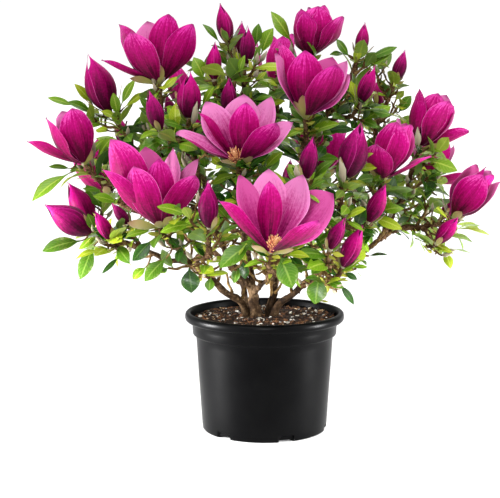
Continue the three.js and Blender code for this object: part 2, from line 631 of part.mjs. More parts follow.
// Joins leaves to a spray's frame. A place is tried at a few turns, and stays bare if the leaf would
// leave the spray's space, touch a limb or another spray, or run through another leaf each time.
function joinSpray(spray, number) {
  const foes = [...frames.filter((_, i) => i !== number), ...limbBodies, ...settled];
  const own = [];
  const place = (solid) => {
    const piece = boxed(solid);
    const free = !foes.some((foe) => touches(piece, foe))
      && !own.some((other) => runsThrough(piece, other));
    if (free) own.push(piece);
    return free;
  };
  const dealLeaves = (twig, out, size) => leafDepths(twig.line.span).forEach((depth, i) => {
    const share = 1 - depth / twig.line.span;
    const foot = twig.line.at(share);
    for (let attempt = 0; attempt < TRIES; attempt++) {
      const pick = (channel) => draw(twig.key * 40 + i, attempt, channel);
      const turn = i * GOLDEN + 360 * draw(twig.key, 77) + 50 * (pick(1) - 0.5) + 75 * attempt;
      const lean = (i < WHORL.length ? out : 60) + 30 * (pick(2) - 0.5);
      const way = branchWay(twig.line.way(share), turn, lean)
        .addScaledVector(UP, 0.15 * (1 - attempt)).normalize();
      const length = size * between(LEAF.least, LEAF.most, pick(3));
      const droop = between(0.02, 0.2, pick(4));
      const outward = Math.atan2(foot.y, foot.x) / DEG;
      const leaf = leafCorners(foot, way, length, droop, outward + 150 * (pick(5) - 0.5));
      const lies = Math.abs(way.z) < 0.93; // one that stands on end can't turn its face up
      if (lies && staysIn(spray, [leaf.tip, leaf.left, leaf.right]) && place(leafSolid(leaf))) return;
    }
  });
  for (const tip of (spray.leaves ?? []).map(point)) {
    const foot = footFor(spray, tip);
    const blade = tip.clone().sub(foot);
    const stalk = Math.max(blade.length() - LEAF.most, 0);
    const way = blade.normalize();
    const start = foot.clone().addScaledVector(way, stalk);
    const end = start.clone().addScaledVector(way, 2);
    const straight = { at: (share) => foot.clone().lerp(end, share), way: () => way, pieces: 1 };
    const leaf = leafSolid(leafCorners(start, way, start.distanceTo(tip), 0.06, FRONT));
    const whole = stalk > 3 ? leaf.add(tube(straight, () => TWIG.shoot, 3)) : leaf;
    place(whole);
  }
  for (const twig of spray.twigs) {
    dealLeaves(twig, LEAF_OUT[twig.flower.opens], 1);
    for (const shoot of shootsOf(spray, twig)) {
      const clear = staysIn(spray, [shoot.line.at(1), shoot.line.at(0.6)]);
      if (clear && place(tube(shoot.line, shoot.radius, 3))) dealLeaves(shoot, 52, 0.85);
    }
  }
  settled.push(...own);
  return mainBody(wasm.Manifold.union([frames[number].solid, ...own.map((piece) => piece.solid)]));
}
const spraySolids = grown.map(joinSpray);

// ---- the pot and what fills it ----

// A round nursery pot turned from its profile: a lip, a collar, a tapering wall and a flat floor.
function potSolid() {
  const { height, rim, lip, lipWidth, collar, collarDeep, foot, wall } = POT;
  const under = height - lip;
  const shoulder = under - collarDeep;
  const wallTop = collar - 5;
  const profile = [
    [0, 0], [foot - 2, 0], [foot, 3], [wallTop, shoulder - 2], [collar - 1, shoulder], [collar, under],
    [rim, under], [rim, height - 2], [rim - 2, height], [rim - lipWidth, height - 1],
    [collar - wall, under - 2], [wallTop - wall, shoulder - 3], [foot - wall, wall], [0, wall],
  ];
  const turned = new THREE.LatheGeometry(profile.map(([x, y]) => new THREE.Vector2(x, y)), 28);
  turned.rotateX(Math.PI / 2);
  let solid = solidOf(turned);
  for (let i = 0; i < SLOTS.count; i++) {
    const slot = new THREE.BoxGeometry(SLOTS.deep * 2, SLOTS.wide, SLOTS.high * 2);
    slot.translate(foot + 1, 0, 0).rotateZ((SLOTS.first - 90 + 360 * i / SLOTS.count) * DEG);
    solid = solid.subtract(solidOf(slot));
  }
  return solid;
}

// The potting mix: it fills the pot to a little under the lip, and is level round the stems.
function soilSolid() {
  const { foot, wall, collar, height, lip, collarDeep } = POT;
  const shy = wall + 1.4; // how far its side stands in from the pot's outside
  const under = height - lip;
  const shoulder = under - collarDeep;
  const top = SOIL_TOP - GAP;
  const profile = [
    [0, wall + GAP], [foot - shy - 1, wall + GAP], [collar - 5 - shy, shoulder - 4],
    [collar - shy - 0.5, under - 4], [collar - shy - 3, top], [0, top],
  ];
  const turned = new THREE.LatheGeometry(profile.map(([x, y]) => new THREE.Vector2(x, y)), 28);
  return solidOf(turned.rotateX(Math.PI / 2));
}

// ---- the shrub, as a group of named meshes ----

const material = (color, roughness) => new THREE.MeshStandardMaterial({ color, roughness, metalness: 0 });
const PLASTIC = material(0x202122, 0.5);
const MIX = material(0x3a2416, 1);
const BARK = material(0x6b5242, 0.9);
const LEAVES = material(0x4f8a22, 0.5);
const BLOSSOM = material(0xb3127f, 0.5);

function meshOf(name, solid, finish) {
  const { vertProperties, triVerts } = mainBody(solid.asOriginal().simplify(SLIVER)).getMesh();
  const geometry = new THREE.BufferGeometry();
  geometry.setAttribute("position", new THREE.BufferAttribute(vertProperties, 3));
  geometry.setIndex(new THREE.BufferAttribute(triVerts, 1));
  geometry.computeVertexNormals();
  const mesh = new THREE.Mesh(geometry, finish);
  mesh.name = name;
  return mesh;
}

const shrub = new THREE.Group();
shrub.add(meshOf("pot", potSolid(), PLASTIC), meshOf("potting_mix", soilSolid(), MIX));
for (const [name, limb] of limbs) shrub.add(meshOf(name, limb.solid, BARK));
grown.forEach((spray, i) => {
  const inBloom = spray.flowers.some((each) => !(each.opens in BUD_WIDE));
  shrub.add(meshOf(spray.name, spraySolids[i], inBloom ? BLOSSOM : LEAVES));
});

export default shrub;
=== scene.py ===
# A flowering magnolia shrub in a round nursery pot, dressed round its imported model. Metres, +Z up.
# The plant is worked out in millimetres, by the rules its model was grown by, and put into each
# mesh in metres.
import math

import bpy
import numpy as np
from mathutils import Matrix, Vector
from mathutils.kdtree import KDTree


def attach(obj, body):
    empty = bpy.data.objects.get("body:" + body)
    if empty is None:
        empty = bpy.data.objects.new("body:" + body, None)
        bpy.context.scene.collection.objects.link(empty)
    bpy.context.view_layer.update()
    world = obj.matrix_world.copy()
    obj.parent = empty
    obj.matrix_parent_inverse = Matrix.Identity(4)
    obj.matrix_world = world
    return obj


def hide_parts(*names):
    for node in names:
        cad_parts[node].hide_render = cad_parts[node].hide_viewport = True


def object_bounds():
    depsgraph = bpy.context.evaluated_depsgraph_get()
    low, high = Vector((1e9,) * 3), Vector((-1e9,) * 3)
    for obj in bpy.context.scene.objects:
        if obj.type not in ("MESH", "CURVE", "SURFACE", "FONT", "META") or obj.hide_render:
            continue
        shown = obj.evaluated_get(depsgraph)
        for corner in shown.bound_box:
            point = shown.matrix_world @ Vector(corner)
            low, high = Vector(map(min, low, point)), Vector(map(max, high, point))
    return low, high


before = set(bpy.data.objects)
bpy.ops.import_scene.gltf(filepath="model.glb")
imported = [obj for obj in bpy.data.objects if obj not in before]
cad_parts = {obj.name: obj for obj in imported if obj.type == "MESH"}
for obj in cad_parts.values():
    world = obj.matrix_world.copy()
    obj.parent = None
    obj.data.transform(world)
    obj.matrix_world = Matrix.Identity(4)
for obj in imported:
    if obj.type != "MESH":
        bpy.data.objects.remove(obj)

cad_low, cad_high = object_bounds()

# ---- camera, lights and floor ----
# A wide pale floor under an even white sky, with a broad soft lamp in front on the left, a weaker
# one on the right and one behind. An oblong lamp on each side gives the pot its sheen, and a small
# one in front lights the mix.

LENS = 96.1
FILM_WIDTH = 36
EYE = (-0.021, -1.9, 0.52)
LOOKS_DOWN = 7.74
SUN_SPREAD = 40
SUNS = {  # the way each shines, and its strength
    "key_lamp": ((0.42, 0.85, -0.95), 1.75),
    "fill_lamp": ((-0.85, 0.6, -0.8), 1.2),
    "back_lamp": ((-0.2, -0.9, -0.9), 1.1),
}
STUDIO_LAMPS = {  # place, the point it aims at, size, watts, degrees of its cone
    "left_strip": ((-0.9, -0.16, 0.14), (0, 0, 0.09), (0.22, 0.3), 4.2, 46),
    "right_strip": ((0.88, -0.2, 0.14), (0, 0, 0.09), (0.18, 0.3), 2.1, 46),
    "soil_lamp": ((0, -1.3, 0.46), (0, 0, 0.19), (0.1, 0.1), 0.08, 16),
}
SKY_LIGHT = 0.62
SKY_SEEN = 1.05
FLOOR_HALF = 60
FLOOR_GREY = 0.8
FLOOR_GLOW = 0.2


def stand(name, data):
    """An object in the scene for some mesh, lamp or camera."""
    made = bpy.data.objects.new(name, data)
    bpy.context.collection.objects.link(made)
    return made


def turn_to(lamp, way):
    """Turns a lamp to shine along a way."""
    lamp.rotation_euler = Vector(way).to_track_quat("-Z", "Y").to_euler()


camera = stand("camera", bpy.data.cameras.new("camera"))
camera.data.lens = LENS
camera.data.sensor_width = FILM_WIDTH
camera.location = EYE
camera.rotation_euler = (math.radians(90 - LOOKS_DOWN), 0, 0)
bpy.context.scene.camera = camera
bpy.context.scene.view_settings.view_transform = "Standard"

for name, (way, power) in SUNS.items():
    light = bpy.data.lights.new(name, "SUN")
    light.energy = power
    light.angle = math.radians(SUN_SPREAD)
    turn_to(stand(name, light), way)
for name, (place, aim, size, power, cone) in STUDIO_LAMPS.items():
    light = bpy.data.lights.new(name, "AREA")
    light.shape = "RECTANGLE"
    light.size, light.size_y = size
    light.energy = power
    light.spread = math.radians(cone)
    lamp = stand(name, light)
    lamp.location = place
    lamp.visible_camera = False
    turn_to(lamp, Vector(aim) - Vector(place))

sky = bpy.data.worlds.new("sky")
sky.use_nodes = True
sky_nodes, sky_links = sky.node_tree.nodes, sky.node_tree.links
sky_nodes["Background"].inputs["Color"].default_value = (1, 1, 1, 1)
seen = sky_nodes.new("ShaderNodeLightPath")
strength = sky_nodes.new("ShaderNodeMapRange")
strength.inputs["To Min"].default_value = SKY_LIGHT
strength.inputs["To Max"].default_value = SKY_SEEN
sky_links.new(seen.outputs["Is Camera Ray"], strength.inputs["Value"])
sky_links.new(strength.outputs["Result"], sky_nodes["Background"].inputs["Strength"])
bpy.context.scene.world = sky


class Finish:
    """A material that is being mixed. Each method adds one kind of shader node to it, and gives the
    node's output; an input takes either a plain value or such an output."""

    def __init__(self, name, colour, roughness, **sockets):
        self.material = bpy.data.materials.new(name)
        self.material.use_nodes = True
        self.shader = self.material.node_tree.nodes["Principled BSDF"]
        self.shader.inputs["Base Color"].default_value = (*colour, 1)
        self.shader.inputs["Roughness"].default_value = roughness
        for socket, value in sockets.items():
            self.shader.inputs[socket.replace("_", " ")].default_value = value

    def node(self, kind, inputs=(), **settings):
        """A node of a kind, with settings on the node itself."""
        made = self.material.node_tree.nodes.new("ShaderNode" + kind)
        for name, value in settings.items():
            setattr(made, name, value)
        for name, value in dict(inputs).items():
            if isinstance(value, bpy.types.NodeSocket):
                self.material.node_tree.links.new(value, made.inputs[name])
            else:
                made.inputs[name].default_value = value
        return made

    def where(self):
        """The place on the object, in metres."""
        return self.node("TexCoord").outputs["Object"]

    def map_spot(self):
        """The place on the piece's own map: u round it and v along it."""
        return self.node("UVMap", uv_map="OFBake").outputs["UV"]

    def sum(self, operation, *values):
        """One step of arithmetic."""
        return self.node("Math", enumerate(values), operation=operation).outputs[0]

    def noise(self, place, scale, detail=3.0, roughness=0.5):
        """Cloudy noise from 0 to 1."""
        wanted = {"Vector": place, "Scale": scale, "Detail": detail, "Roughness": roughness}
        return self.node("TexNoise", wanted).outputs["Fac"]

    def ramp(self, share, stops):
        """A colour that follows a share from 0 to 1 through its stops, each a place and a colour."""
        ramp = self.node("ValToRGB", {"Fac": share})
        bands = ramp.color_ramp.elements
        while len(bands) < len(stops):
            bands.new(0.5)
        for band, (place, colour) in zip(bands, stops):
            band.position = place
            band.color = (*colour, 1)
        return ramp.outputs["Color"]

    def blend(self, share, first, second):
        """The first colour where the share is 0, and the second where it is 1."""
        plain = [(*each, 1) if isinstance(each, tuple) else each for each in (first, second)]
        return self.node("Mix", {0: share, 6: plain[0], 7: plain[1]}, data_type="RGBA").outputs[2]

    def band(self, value, low, high, most=1.0):
        """0 at the low value and most at the high one, evenly between."""
        wanted = {"Value": value, "From Min": low, "From Max": high, "To Max": most}
        return self.node("MapRange", wanted).outputs[0]

    def feed(self, socket, value):
        """Lets a value drive one of the shader's sockets."""
        self.material.node_tree.links.new(value, self.shader.inputs[socket])

    def relief(self, height, strength, distance):
        """Lets a height from 0 to 1 tilt the surface, as a relief of distance metres."""
        wanted = {"Height": height, "Strength": strength, "Distance": distance}
        self.feed("Normal", self.node("Bump", wanted).outputs["Normal"])


floor_corners = [(-FLOOR_HALF, -FLOOR_HALF, 0), (FLOOR_HALF, -FLOOR_HALF, 0),
                 (FLOOR_HALF, FLOOR_HALF, 0), (-FLOOR_HALF, FLOOR_HALF, 0)]
floor_mesh = bpy.data.meshes.new("floor")
floor_mesh.from_pydata(floor_corners, [], [(0, 1, 2, 3)])
floor = stand("floor", floor_mesh)
floor_finish = Finish("pale floor", (FLOOR_GREY,) * 3, 0.8, Emission_Color=(1, 1, 1, 1),
                      Emission_Strength=FLOOR_GLOW)
floor_mesh.materials.append(floor_finish.material)

# ---- the pot ----
# A round nursery pot moulded in thin black polypropylene: a rolled lip, a collar band and a
# tapering wall, with drain notches moulded into its foot. It stands on the floor.

MM = 0.001
POT_PROFILE = [  # radius and height, from the middle of the foot round the lip to the inner floor
    (0, 0.3), (86, 0.3), (87.6, 0), (89, 0.4), (89.9, 1.6), (90.2, 3.4), (90.7, 9.4), (90.9, 12),
    (94, 60), (98.2, 128), (99.2, 137), (99.9, 138.6), (101.8, 139.2), (103.2, 139.8), (103.8, 141.2),
    (104.3, 150), (104.8, 157.6), (105.6, 158.6), (110, 158.8), (112.6, 159.4), (114.2, 161),
    (114.9, 163.4), (114.9, 166.6), (114.2, 169.4), (112.6, 171.2), (110.4, 171.9), (108.2, 171.5),
    (106.9, 170.2), (106.2, 168), (103.4, 158), (101.8, 150), (96.6, 134), (87.6, 3), (0, 3),
]
POT_SEGMENTS = 240
NOTCHES = {"count": 6, "half_wide": 10.0, "high": 8.0, "deep": 11.0, "first": -40.0, "eased": 1.2}
FOOT_RADIUS = 90
OUTER_STEPS = 8


def smooth_step(low, high, value):
    """0 below low, 1 above high, and 3x^2 - 2x^3 of the share between."""
    share = np.clip((value - low) / (high - low), 0, 1)
    return share * share * (3 - 2 * share)


def even_turns(count):
    """Angles in radians at even turns round a circle."""
    return np.linspace(0, 2 * np.pi, count, endpoint=False)


def grid_faces(rows, around):
    """Quads that join each ring of points to the next: row r, place c, with the last place wrapping
    to the first."""
    row, place = np.meshgrid(np.arange(rows - 1), np.arange(around), indexing="ij")
    here = row * around + place
    beside = row * around + (place + 1) % around
    return np.stack([here, beside, beside + around, here + around], axis=-1).reshape(-1, 4)


def fan_faces(hub, ring_start, around, flip):
    """Triangles from a hub point to each side of a ring; flip turns their faces over."""
    place = np.arange(around)
    beside = (place + 1) % around
    sides = [ring_start + beside, ring_start + place] if flip else [ring_start + place, ring_start + beside]
    return np.stack([np.full(around, hub), *sides], axis=-1)


def new_mesh(name, points, faces, corner_uvs=None):
    """A mesh from points in millimetres and lists of faces of three or four corners. corner_uvs has
    one pair for each corner of each face."""
    mesh = bpy.data.meshes.new(name)
    mesh.vertices.add(len(points))
    mesh.vertices.foreach_set("co", (np.asarray(points, np.float32) * MM).ravel())
    corners = np.concatenate([each.ravel() for each in faces])
    sizes = np.concatenate([np.full(len(each), each.shape[1]) for each in faces])
    starts = np.concatenate([[0], np.cumsum(sizes)[:-1]])
    mesh.loops.add(len(corners))
    mesh.loops.foreach_set("vertex_index", corners.astype(np.int32))
    mesh.polygons.add(len(sizes))
    mesh.polygons.foreach_set("loop_start", starts.astype(np.int32))
    mesh.polygons.foreach_set("use_smooth", np.ones(len(sizes), bool))
    if corner_uvs is not None:
        mesh.uv_layers.new(name="OFBake").data.foreach_set("uv", corner_uvs.astype(np.float32).ravel())
    mesh.update(calc_edges=True)
    return mesh


def place_piece(mesh, finish, nodes, sharp):
    """An object for a mesh: edges that turn more than sharp degrees stay crisp. It rides on the
    plant's one body, and stands for the nodes it replaces."""
    mesh.materials.append(finish.material)
    mesh.set_sharp_from_angle(angle=math.radians(sharp))
    piece = stand(mesh.name, mesh)
    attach(piece, "root")
    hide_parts(*nodes)


radius, height = np.array(POT_PROFILE, float).T
turn = even_turns(POT_SEGMENTS)
pitch = 2 * np.pi / NOTCHES["count"]
off_notch = (turn - math.radians(NOTCHES["first"] - 90) + pitch / 2) % pitch - pitch / 2
notch_edges = NOTCHES["half_wide"] - NOTCHES["eased"], NOTCHES["half_wide"] + NOTCHES["eased"]
in_notch = 1 - smooth_step(*notch_edges, np.abs(off_notch) * FOOT_RADIUS)
outer_foot = (height < NOTCHES["high"]) & (radius > 80) & (np.arange(len(radius)) < OUTER_STEPS)
cut_back = np.where(outer_foot, NOTCHES["deep"], 0)[:, None] * in_notch[None, :]
reach = np.maximum(radius[:, None] - cut_back, 0)
pot_rings = np.stack([reach * np.cos(turn), reach * np.sin(turn),
                      np.repeat(height[:, None], POT_SEGMENTS, axis=1)], axis=-1)[1:-1]
pot_points = np.concatenate([pot_rings.reshape(-1, 3), [[0, 0, height[0]], [0, 0, height[-1]]]])
pot_mesh = new_mesh("nursery_pot", pot_points, [
    grid_faces(len(pot_rings), POT_SEGMENTS),
    fan_faces(len(pot_points) - 2, 0, POT_SEGMENTS, flip=True),
    fan_faces(len(pot_points) - 1, (len(pot_rings) - 1) * POT_SEGMENTS, POT_SEGMENTS, flip=False)])

pot_finish = Finish("black polypropylene", (0.003, 0.003, 0.0034), 0.4, Specular_IOR_Level=0.05)
where = pot_finish.where()
scuffed = pot_finish.noise(where, 22, 4)
pot_finish.feed("Base Color", pot_finish.ramp(scuffed, [(0.35, (0.001, 0.001, 0.0012)),
                                                        (0.75, (0.002, 0.002, 0.0022))]))
pot_finish.feed("Roughness", pot_finish.sum("MULTIPLY_ADD", scuffed, 0.1, 0.26))
pot_finish.relief(pot_finish.noise(where, 900, 2), 0.25, 0.0002)
place_piece(pot_mesh, pot_finish, ["pot"], sharp=50)

# ---- the potting mix ----
# Coarse composted bark with white perlite grains: a rough, nearly level bed with loose crumbs lying
# on it, just under the pot's lip and packed round the stems.

MIX_LEVEL = 160.6
MIX_RADIUS = 103.2
MIX_ROWS = 46
MIX_AROUND = 150
MOUND_HIGH = 1.6
MOUND_WIDE = 42
RIM_BACK = np.array([2.5, 5, 8])  # the bed's last rings go down inside the wall
RIM_LEVELS = np.array([150, 140, 130])
# each kind of crumb: count, the ranges of its three sizes, seed, two colours, roughness
CRUMBS = {
    "dark_bark_crumbs": (1150, [(6, 14), (3.5, 8), (2, 4.2)], 11,
        [(0.008, 0.003, 0.001), (0.045, 0.017, 0.007)], 0.9),
    "brown_bark_crumbs": (640, [(5, 13), (3, 7), (1.6, 3.6)], 12,
        [(0.1, 0.036, 0.013), (0.3, 0.13, 0.05)], 0.9),
    "fibre_crumbs": (170, [(5, 12), (1.6, 3.6), (1.4, 2.8)], 13,
        [(0.45, 0.28, 0.14), (0.75, 0.55, 0.34)], 0.9),
    "perlite_grains": (180, [(3, 9), (2.6, 7.5), (2.2, 5.5)], 14,
        [(0.92, 0.88, 0.8), (1.0, 0.98, 0.95)], 0.8),
}
LONG_SIDE = (1 + math.sqrt(5)) / 2  # of a golden rectangle: a chip is a dented icosahedron
CHIP = np.array([
    (0, 1, LONG_SIDE), (0, -1, LONG_SIDE), (0, 1, -LONG_SIDE), (0, -1, -LONG_SIDE),
    (1, LONG_SIDE, 0), (-1, LONG_SIDE, 0), (1, -LONG_SIDE, 0), (-1, -LONG_SIDE, 0),
    (LONG_SIDE, 0, 1), (-LONG_SIDE, 0, 1), (LONG_SIDE, 0, -1), (-LONG_SIDE, 0, -1)]) / 1.9
CHIP_FACES = np.array([(0, 1, 8), (0, 9, 1), (0, 4, 5), (0, 8, 4), (0, 5, 9), (2, 10, 3), (2, 3, 11),
                       (2, 5, 4), (2, 4, 10), (2, 11, 5), (1, 6, 8), (1, 7, 6), (1, 9, 7), (3, 10, 6),
                       (3, 6, 7), (3, 7, 11), (4, 8, 10), (6, 10, 8), (5, 11, 9), (7, 9, 11)])


def lattice_draw(corner, channel):
    """A repeatable draw from 0 to 1 for whole-number corners, by mixing their three numbers."""
    mixed = (corner[..., 0] * 73856093) ^ (corner[..., 1] * 19349663) ^ (corner[..., 2] * 83492791)
    mixed = (mixed ^ (channel * 2654435761)) & 0xFFFFFFFF
    mixed = ((mixed ^ (mixed >> 15)) * 2246822519) & 0xFFFFFFFF
    mixed = ((mixed ^ (mixed >> 13)) * 3266489917) & 0xFFFFFFFF
    return ((mixed ^ (mixed >> 16)) & 0xFFFFFF) / 0xFFFFFF


def cloud(points, size, channel=0):
    """Smooth noise from -1 to 1 over points: each unit cube of the given size blends the draws at
    its eight corners."""
    cell = np.asarray(points) / size
    base = np.floor(cell).astype(np.int64)
    share = cell - base
    share = share * share * (3 - 2 * share)
    total = 0
    for corner in np.ndindex(2, 2, 2):
        weight = np.prod(np.where(corner, share, 1 - share), axis=-1)
        total = total + weight * lattice_draw(base + np.array(corner), channel)
    return total * 2 - 1


def mix_height(spots, far):
    """The bed's height: its level, a low mound in the middle, and two sizes of lumps."""
    mound = MOUND_HIGH * np.exp(-(far / MOUND_WIDE) ** 2)
    return MIX_LEVEL + mound + 1.5 * cloud(spots, 9, 1) + 1.0 * cloud(spots, 4.2, 2)


def turned(first, second, angle):
    """Two coordinates turned about the third by an angle for each lump."""
    cosine, sine = np.cos(angle)[:, None], np.sin(angle)[:, None]
    return first * cosine - second * sine, first * sine + second * cosine


def crumbs(name, count, sizes, seed, colours, roughness):
    """Loose crumbs on the bed: 20-sided lumps, each stretched by its own three sizes, dented at
    random, turned at random and let down into the bed by a third of its height."""
    pick = np.random.default_rng(seed)
    far = MIX_RADIUS * np.sqrt(pick.uniform(0.01, 0.96, count))
    bearing = pick.uniform(0, 2 * np.pi, count)
    long, wide, deep = (pick.uniform(low, high, count) for low, high in sizes)
    lumps = CHIP[None] * (1 + pick.uniform(-0.3, 0.3, (count, len(CHIP), 1)))
    lumps = lumps * np.stack([long, wide, deep], axis=-1)[:, None, :] / 2
    tip = pick.normal(0, 0.35, count)
    flat = pick.uniform(0, 2 * np.pi, count)
    x, y, z = np.moveaxis(lumps, -1, 0)
    x, z = turned(x, z, tip)
    x, y = turned(x, y, flat)
    spot = np.stack([far * np.cos(bearing), far * np.sin(bearing), np.zeros(count)], axis=-1)
    level = mix_height(spot, far)
    points = np.stack([x + spot[:, :1], y + spot[:, 1:2], z + (level + deep * 0.18)[:, None]], axis=-1)
    faces = (CHIP_FACES[None] + len(CHIP) * np.arange(count)[:, None, None]).reshape(-1, 3)
    finish = Finish(name.replace("_", " "), colours[0], roughness)
    where = finish.where()
    finish.feed("Base Color", finish.ramp(finish.noise(where, 330), [(0.35, colours[0]), (0.7, colours[1])]))
    finish.relief(finish.noise(where, 1500, 2), 0.5, 0.0004)
    mesh = new_mesh(name, points.reshape(-1, 3), [faces])
    place_piece(mesh, finish, ["potting_mix"], sharp=35)


turn = even_turns(MIX_AROUND)
far = np.concatenate([np.linspace(0.8, MIX_RADIUS, MIX_ROWS - len(RIM_BACK)), MIX_RADIUS - RIM_BACK])
spots = np.stack([far[:, None] * np.cos(turn), far[:, None] * np.sin(turn), np.zeros((MIX_ROWS, MIX_AROUND))],
                 axis=-1)
spots[..., 2] = mix_height(spots, far[:, None]) + 0.5 * cloud(spots, 2, 3)
spots[-len(RIM_LEVELS):, :, 2] = RIM_LEVELS[:, None]
bed_points = np.concatenate([spots.reshape(-1, 3), [[0, 0, MIX_LEVEL + MOUND_HIGH], [0, 0, RIM_LEVELS[-1]]]])
bed_mesh = new_mesh("bark_bed", bed_points, [
    grid_faces(MIX_ROWS, MIX_AROUND)[:, ::-1],
    fan_faces(len(bed_points) - 2, 0, MIX_AROUND, flip=False),
    fan_faces(len(bed_points) - 1, (MIX_ROWS - 1) * MIX_AROUND, MIX_AROUND, flip=True)])
bed_finish = Finish("composted bark", (0.03, 0.017, 0.01), 0.95)
specks = bed_finish.noise(bed_finish.where(), 260, 5, 0.7)
bed_finish.feed("Base Color", bed_finish.ramp(specks, [
    (0.3, (0.008, 0.004, 0.003)), (0.52, (0.035, 0.016, 0.009)),
    (0.66, (0.08, 0.033, 0.016)), (0.8, (0.2, 0.11, 0.06))]))
bed_finish.relief(specks, 0.9, 0.0025)
place_piece(bed_mesh, bed_finish, ["potting_mix"], sharp=80)
for name, measures in CRUMBS.items():
    crumbs(name, *measures)

# ---- the stems and boughs ----
# Several stems of living wood rise from one root and fork into boughs. The bark is thin and
# grey-brown, ridged near the ground, with warts, pores and the stubs of old spurs. Each limb is a
# tapering tube with that relief worked into it, and starts inside the limb that it grows from.

SOIL_TOP = 157
BOUGH_THICK = (4.4, 3)
# name, the limb it leaves or its place on the bed, the share of that limb's length, tip, radii
STEMS = [
    ("trunk", (-12, 0, SOIL_TOP), 0, (-18, -2, 205), (11, 8.6)),
    ("stem_left", (-25, 3, SOIL_TOP), 0, (-88, -8, 233), (7.6, 5.6)),
    ("stem_right", (14, -3, SOIL_TOP), 0, (94, -20, 247), (7.2, 5)),
    ("stem_inner_right", (7, 4, SOIL_TOP), 0, (48, 2, 318), (7.4, 4.4)),
    ("stem_back_left", (-22, 15, SOIL_TOP), 0, (-62, 66, 262), (6.2, 4.4)),
    ("stem_back_right", (4, 17, SOIL_TOP), 0, (54, 72, 262), (6.2, 4.4)),
    ("stem_inner_left", "trunk", 0.86, (-74, -22, 292), (6, 4.6)),
    ("stem_middle", "trunk", 0.97, (-28, 6, 330), (6.4, 4.2)),
    ("stem_front", "trunk", 0.8, (6, -62, 232), (5.6, 4.4)),
]
BOUGHS = [
    ("bough_low_left", "stem_left", 1, (-168, -26, 264), BOUGH_THICK),
    ("bough_front_left", "stem_left", 0.72, (-110, -92, 266), BOUGH_THICK),
    ("bough_upper_left", "stem_inner_left", 1, (-146, 0, 382), BOUGH_THICK),
    ("bough_inner_left", "stem_inner_left", 0.8, (-92, -62, 362), BOUGH_THICK),
    ("bough_front", "stem_middle", 0.45, (-38, -86, 322), BOUGH_THICK),
    ("bough_crown", "stem_middle", 1, (-42, 4, 436), BOUGH_THICK),
    ("bough_low_front", "stem_front", 1, (6, -158, 250), BOUGH_THICK),
    ("bough_top_right", "stem_inner_right", 1, (72, 2, 430), BOUGH_THICK),
    ("bough_upper_front", "stem_inner_right", 0.72, (52, -58, 372), BOUGH_THICK),
    ("bough_right", "stem_right", 1, (142, -58, 300), BOUGH_THICK),
    ("bough_right_front", "stem_right", 0.74, (92, -104, 298), BOUGH_THICK),
    ("bough_far_right", "stem_right", 0.9, (182, -4, 288), BOUGH_THICK),
    ("bough_back_left", "stem_back_left", 1, (-82, 130, 300), BOUGH_THICK),
    ("bough_back_far_left", "stem_back_left", 0.74, (-152, 84, 296), BOUGH_THICK),
    ("bough_back_right", "stem_back_right", 1, (76, 138, 296), BOUGH_THICK),
    ("bough_back_far_right", "stem_back_right", 0.74, (152, 88, 300), BOUGH_THICK),
    ("bough_back_top", "stem_middle", 0.74, (2, 74, 396), BOUGH_THICK),
]
UP = np.array([0.0, 0.0, 1.0])
FOOT_SUNK = 6
LIMB_SIDES = 18
SLIM = {"stem": 0.72, "bough": 0.96}
RING_EVERY = 2.2
FLARE = {"root": 0.32, "fork": 0.12, "reach": 12}
KNOT_EVERY = 24
SPUR = {"every": 34, "first": 0.3, "vary": 0.6, "last": 0.95, "out": 62, "proud": 1.5, "more": 3.5,
        "rise": 0.3, "sides": 8, "at": (0, 0.4, 0.75, 0.93, 1.0), "thick": (1.9, 1.7, 1.5, 1.35, 0.9)}
# name, then dark, middle and light wood, then how fine its pattern is
BARKS = {
    "stem": ("grey brown bark", (0.005, 0.0022, 0.0008), (0.03, 0.0155, 0.0065), (0.14, 0.088, 0.046), 1),
    "bough": ("brown bark", (0.008, 0.0034, 0.0012), (0.046, 0.0235, 0.0095), (0.19, 0.122, 0.064), 1.2),
    "twig": ("brown twig", (0.014, 0.0055, 0.0015), (0.06, 0.0275, 0.011), (0.22, 0.135, 0.068), 2.2),
    "shoot": ("green brown shoot", (0.028, 0.0135, 0.004), (0.105, 0.056, 0.018), (0.26, 0.175, 0.062), 2.6),
}


def draw(*keys):
    """A repeatable draw from 0 to 1: each whole number is mixed in turn into one 32-bit number."""
    mixed = 2166136261
    for key in keys:
        mixed = ((mixed ^ (key + 1)) * 16777619) & 0xFFFFFFFF
        mixed ^= mixed >> 13
        mixed = (mixed * 1540483477) & 0xFFFFFFFF
        mixed ^= mixed >> 15
    return mixed / 4294967296


def unit(way):
    """A way, or each of several, made one long."""
    return way / np.linalg.norm(way, axis=-1, keepdims=True)


def way_of(lean, toward):
    """The way of something that leans from upright by lean degrees towards a bearing."""
    lean, toward = math.radians(lean), math.radians(toward)
    return np.array([math.sin(lean) * math.cos(toward), math.sin(lean) * math.sin(toward), math.cos(lean)])


def square_to(way):
    """Two directions square to a way: across, which is level, and over."""
    level = np.array([0.0, 1.0, 0.0]) if abs(way[2]) > 0.999 else UP
    across = unit(np.cross(level, way))
    return across, np.cross(way, across)


def branch_way(way, turn, out):
    """A way turned from another by out degrees, on the side that turn degrees points to."""
    across, over = square_to(way)
    turn, out = math.radians(turn), math.radians(out)
    return math.cos(out) * way + math.sin(out) * (math.cos(turn) * across + math.sin(turn) * over)


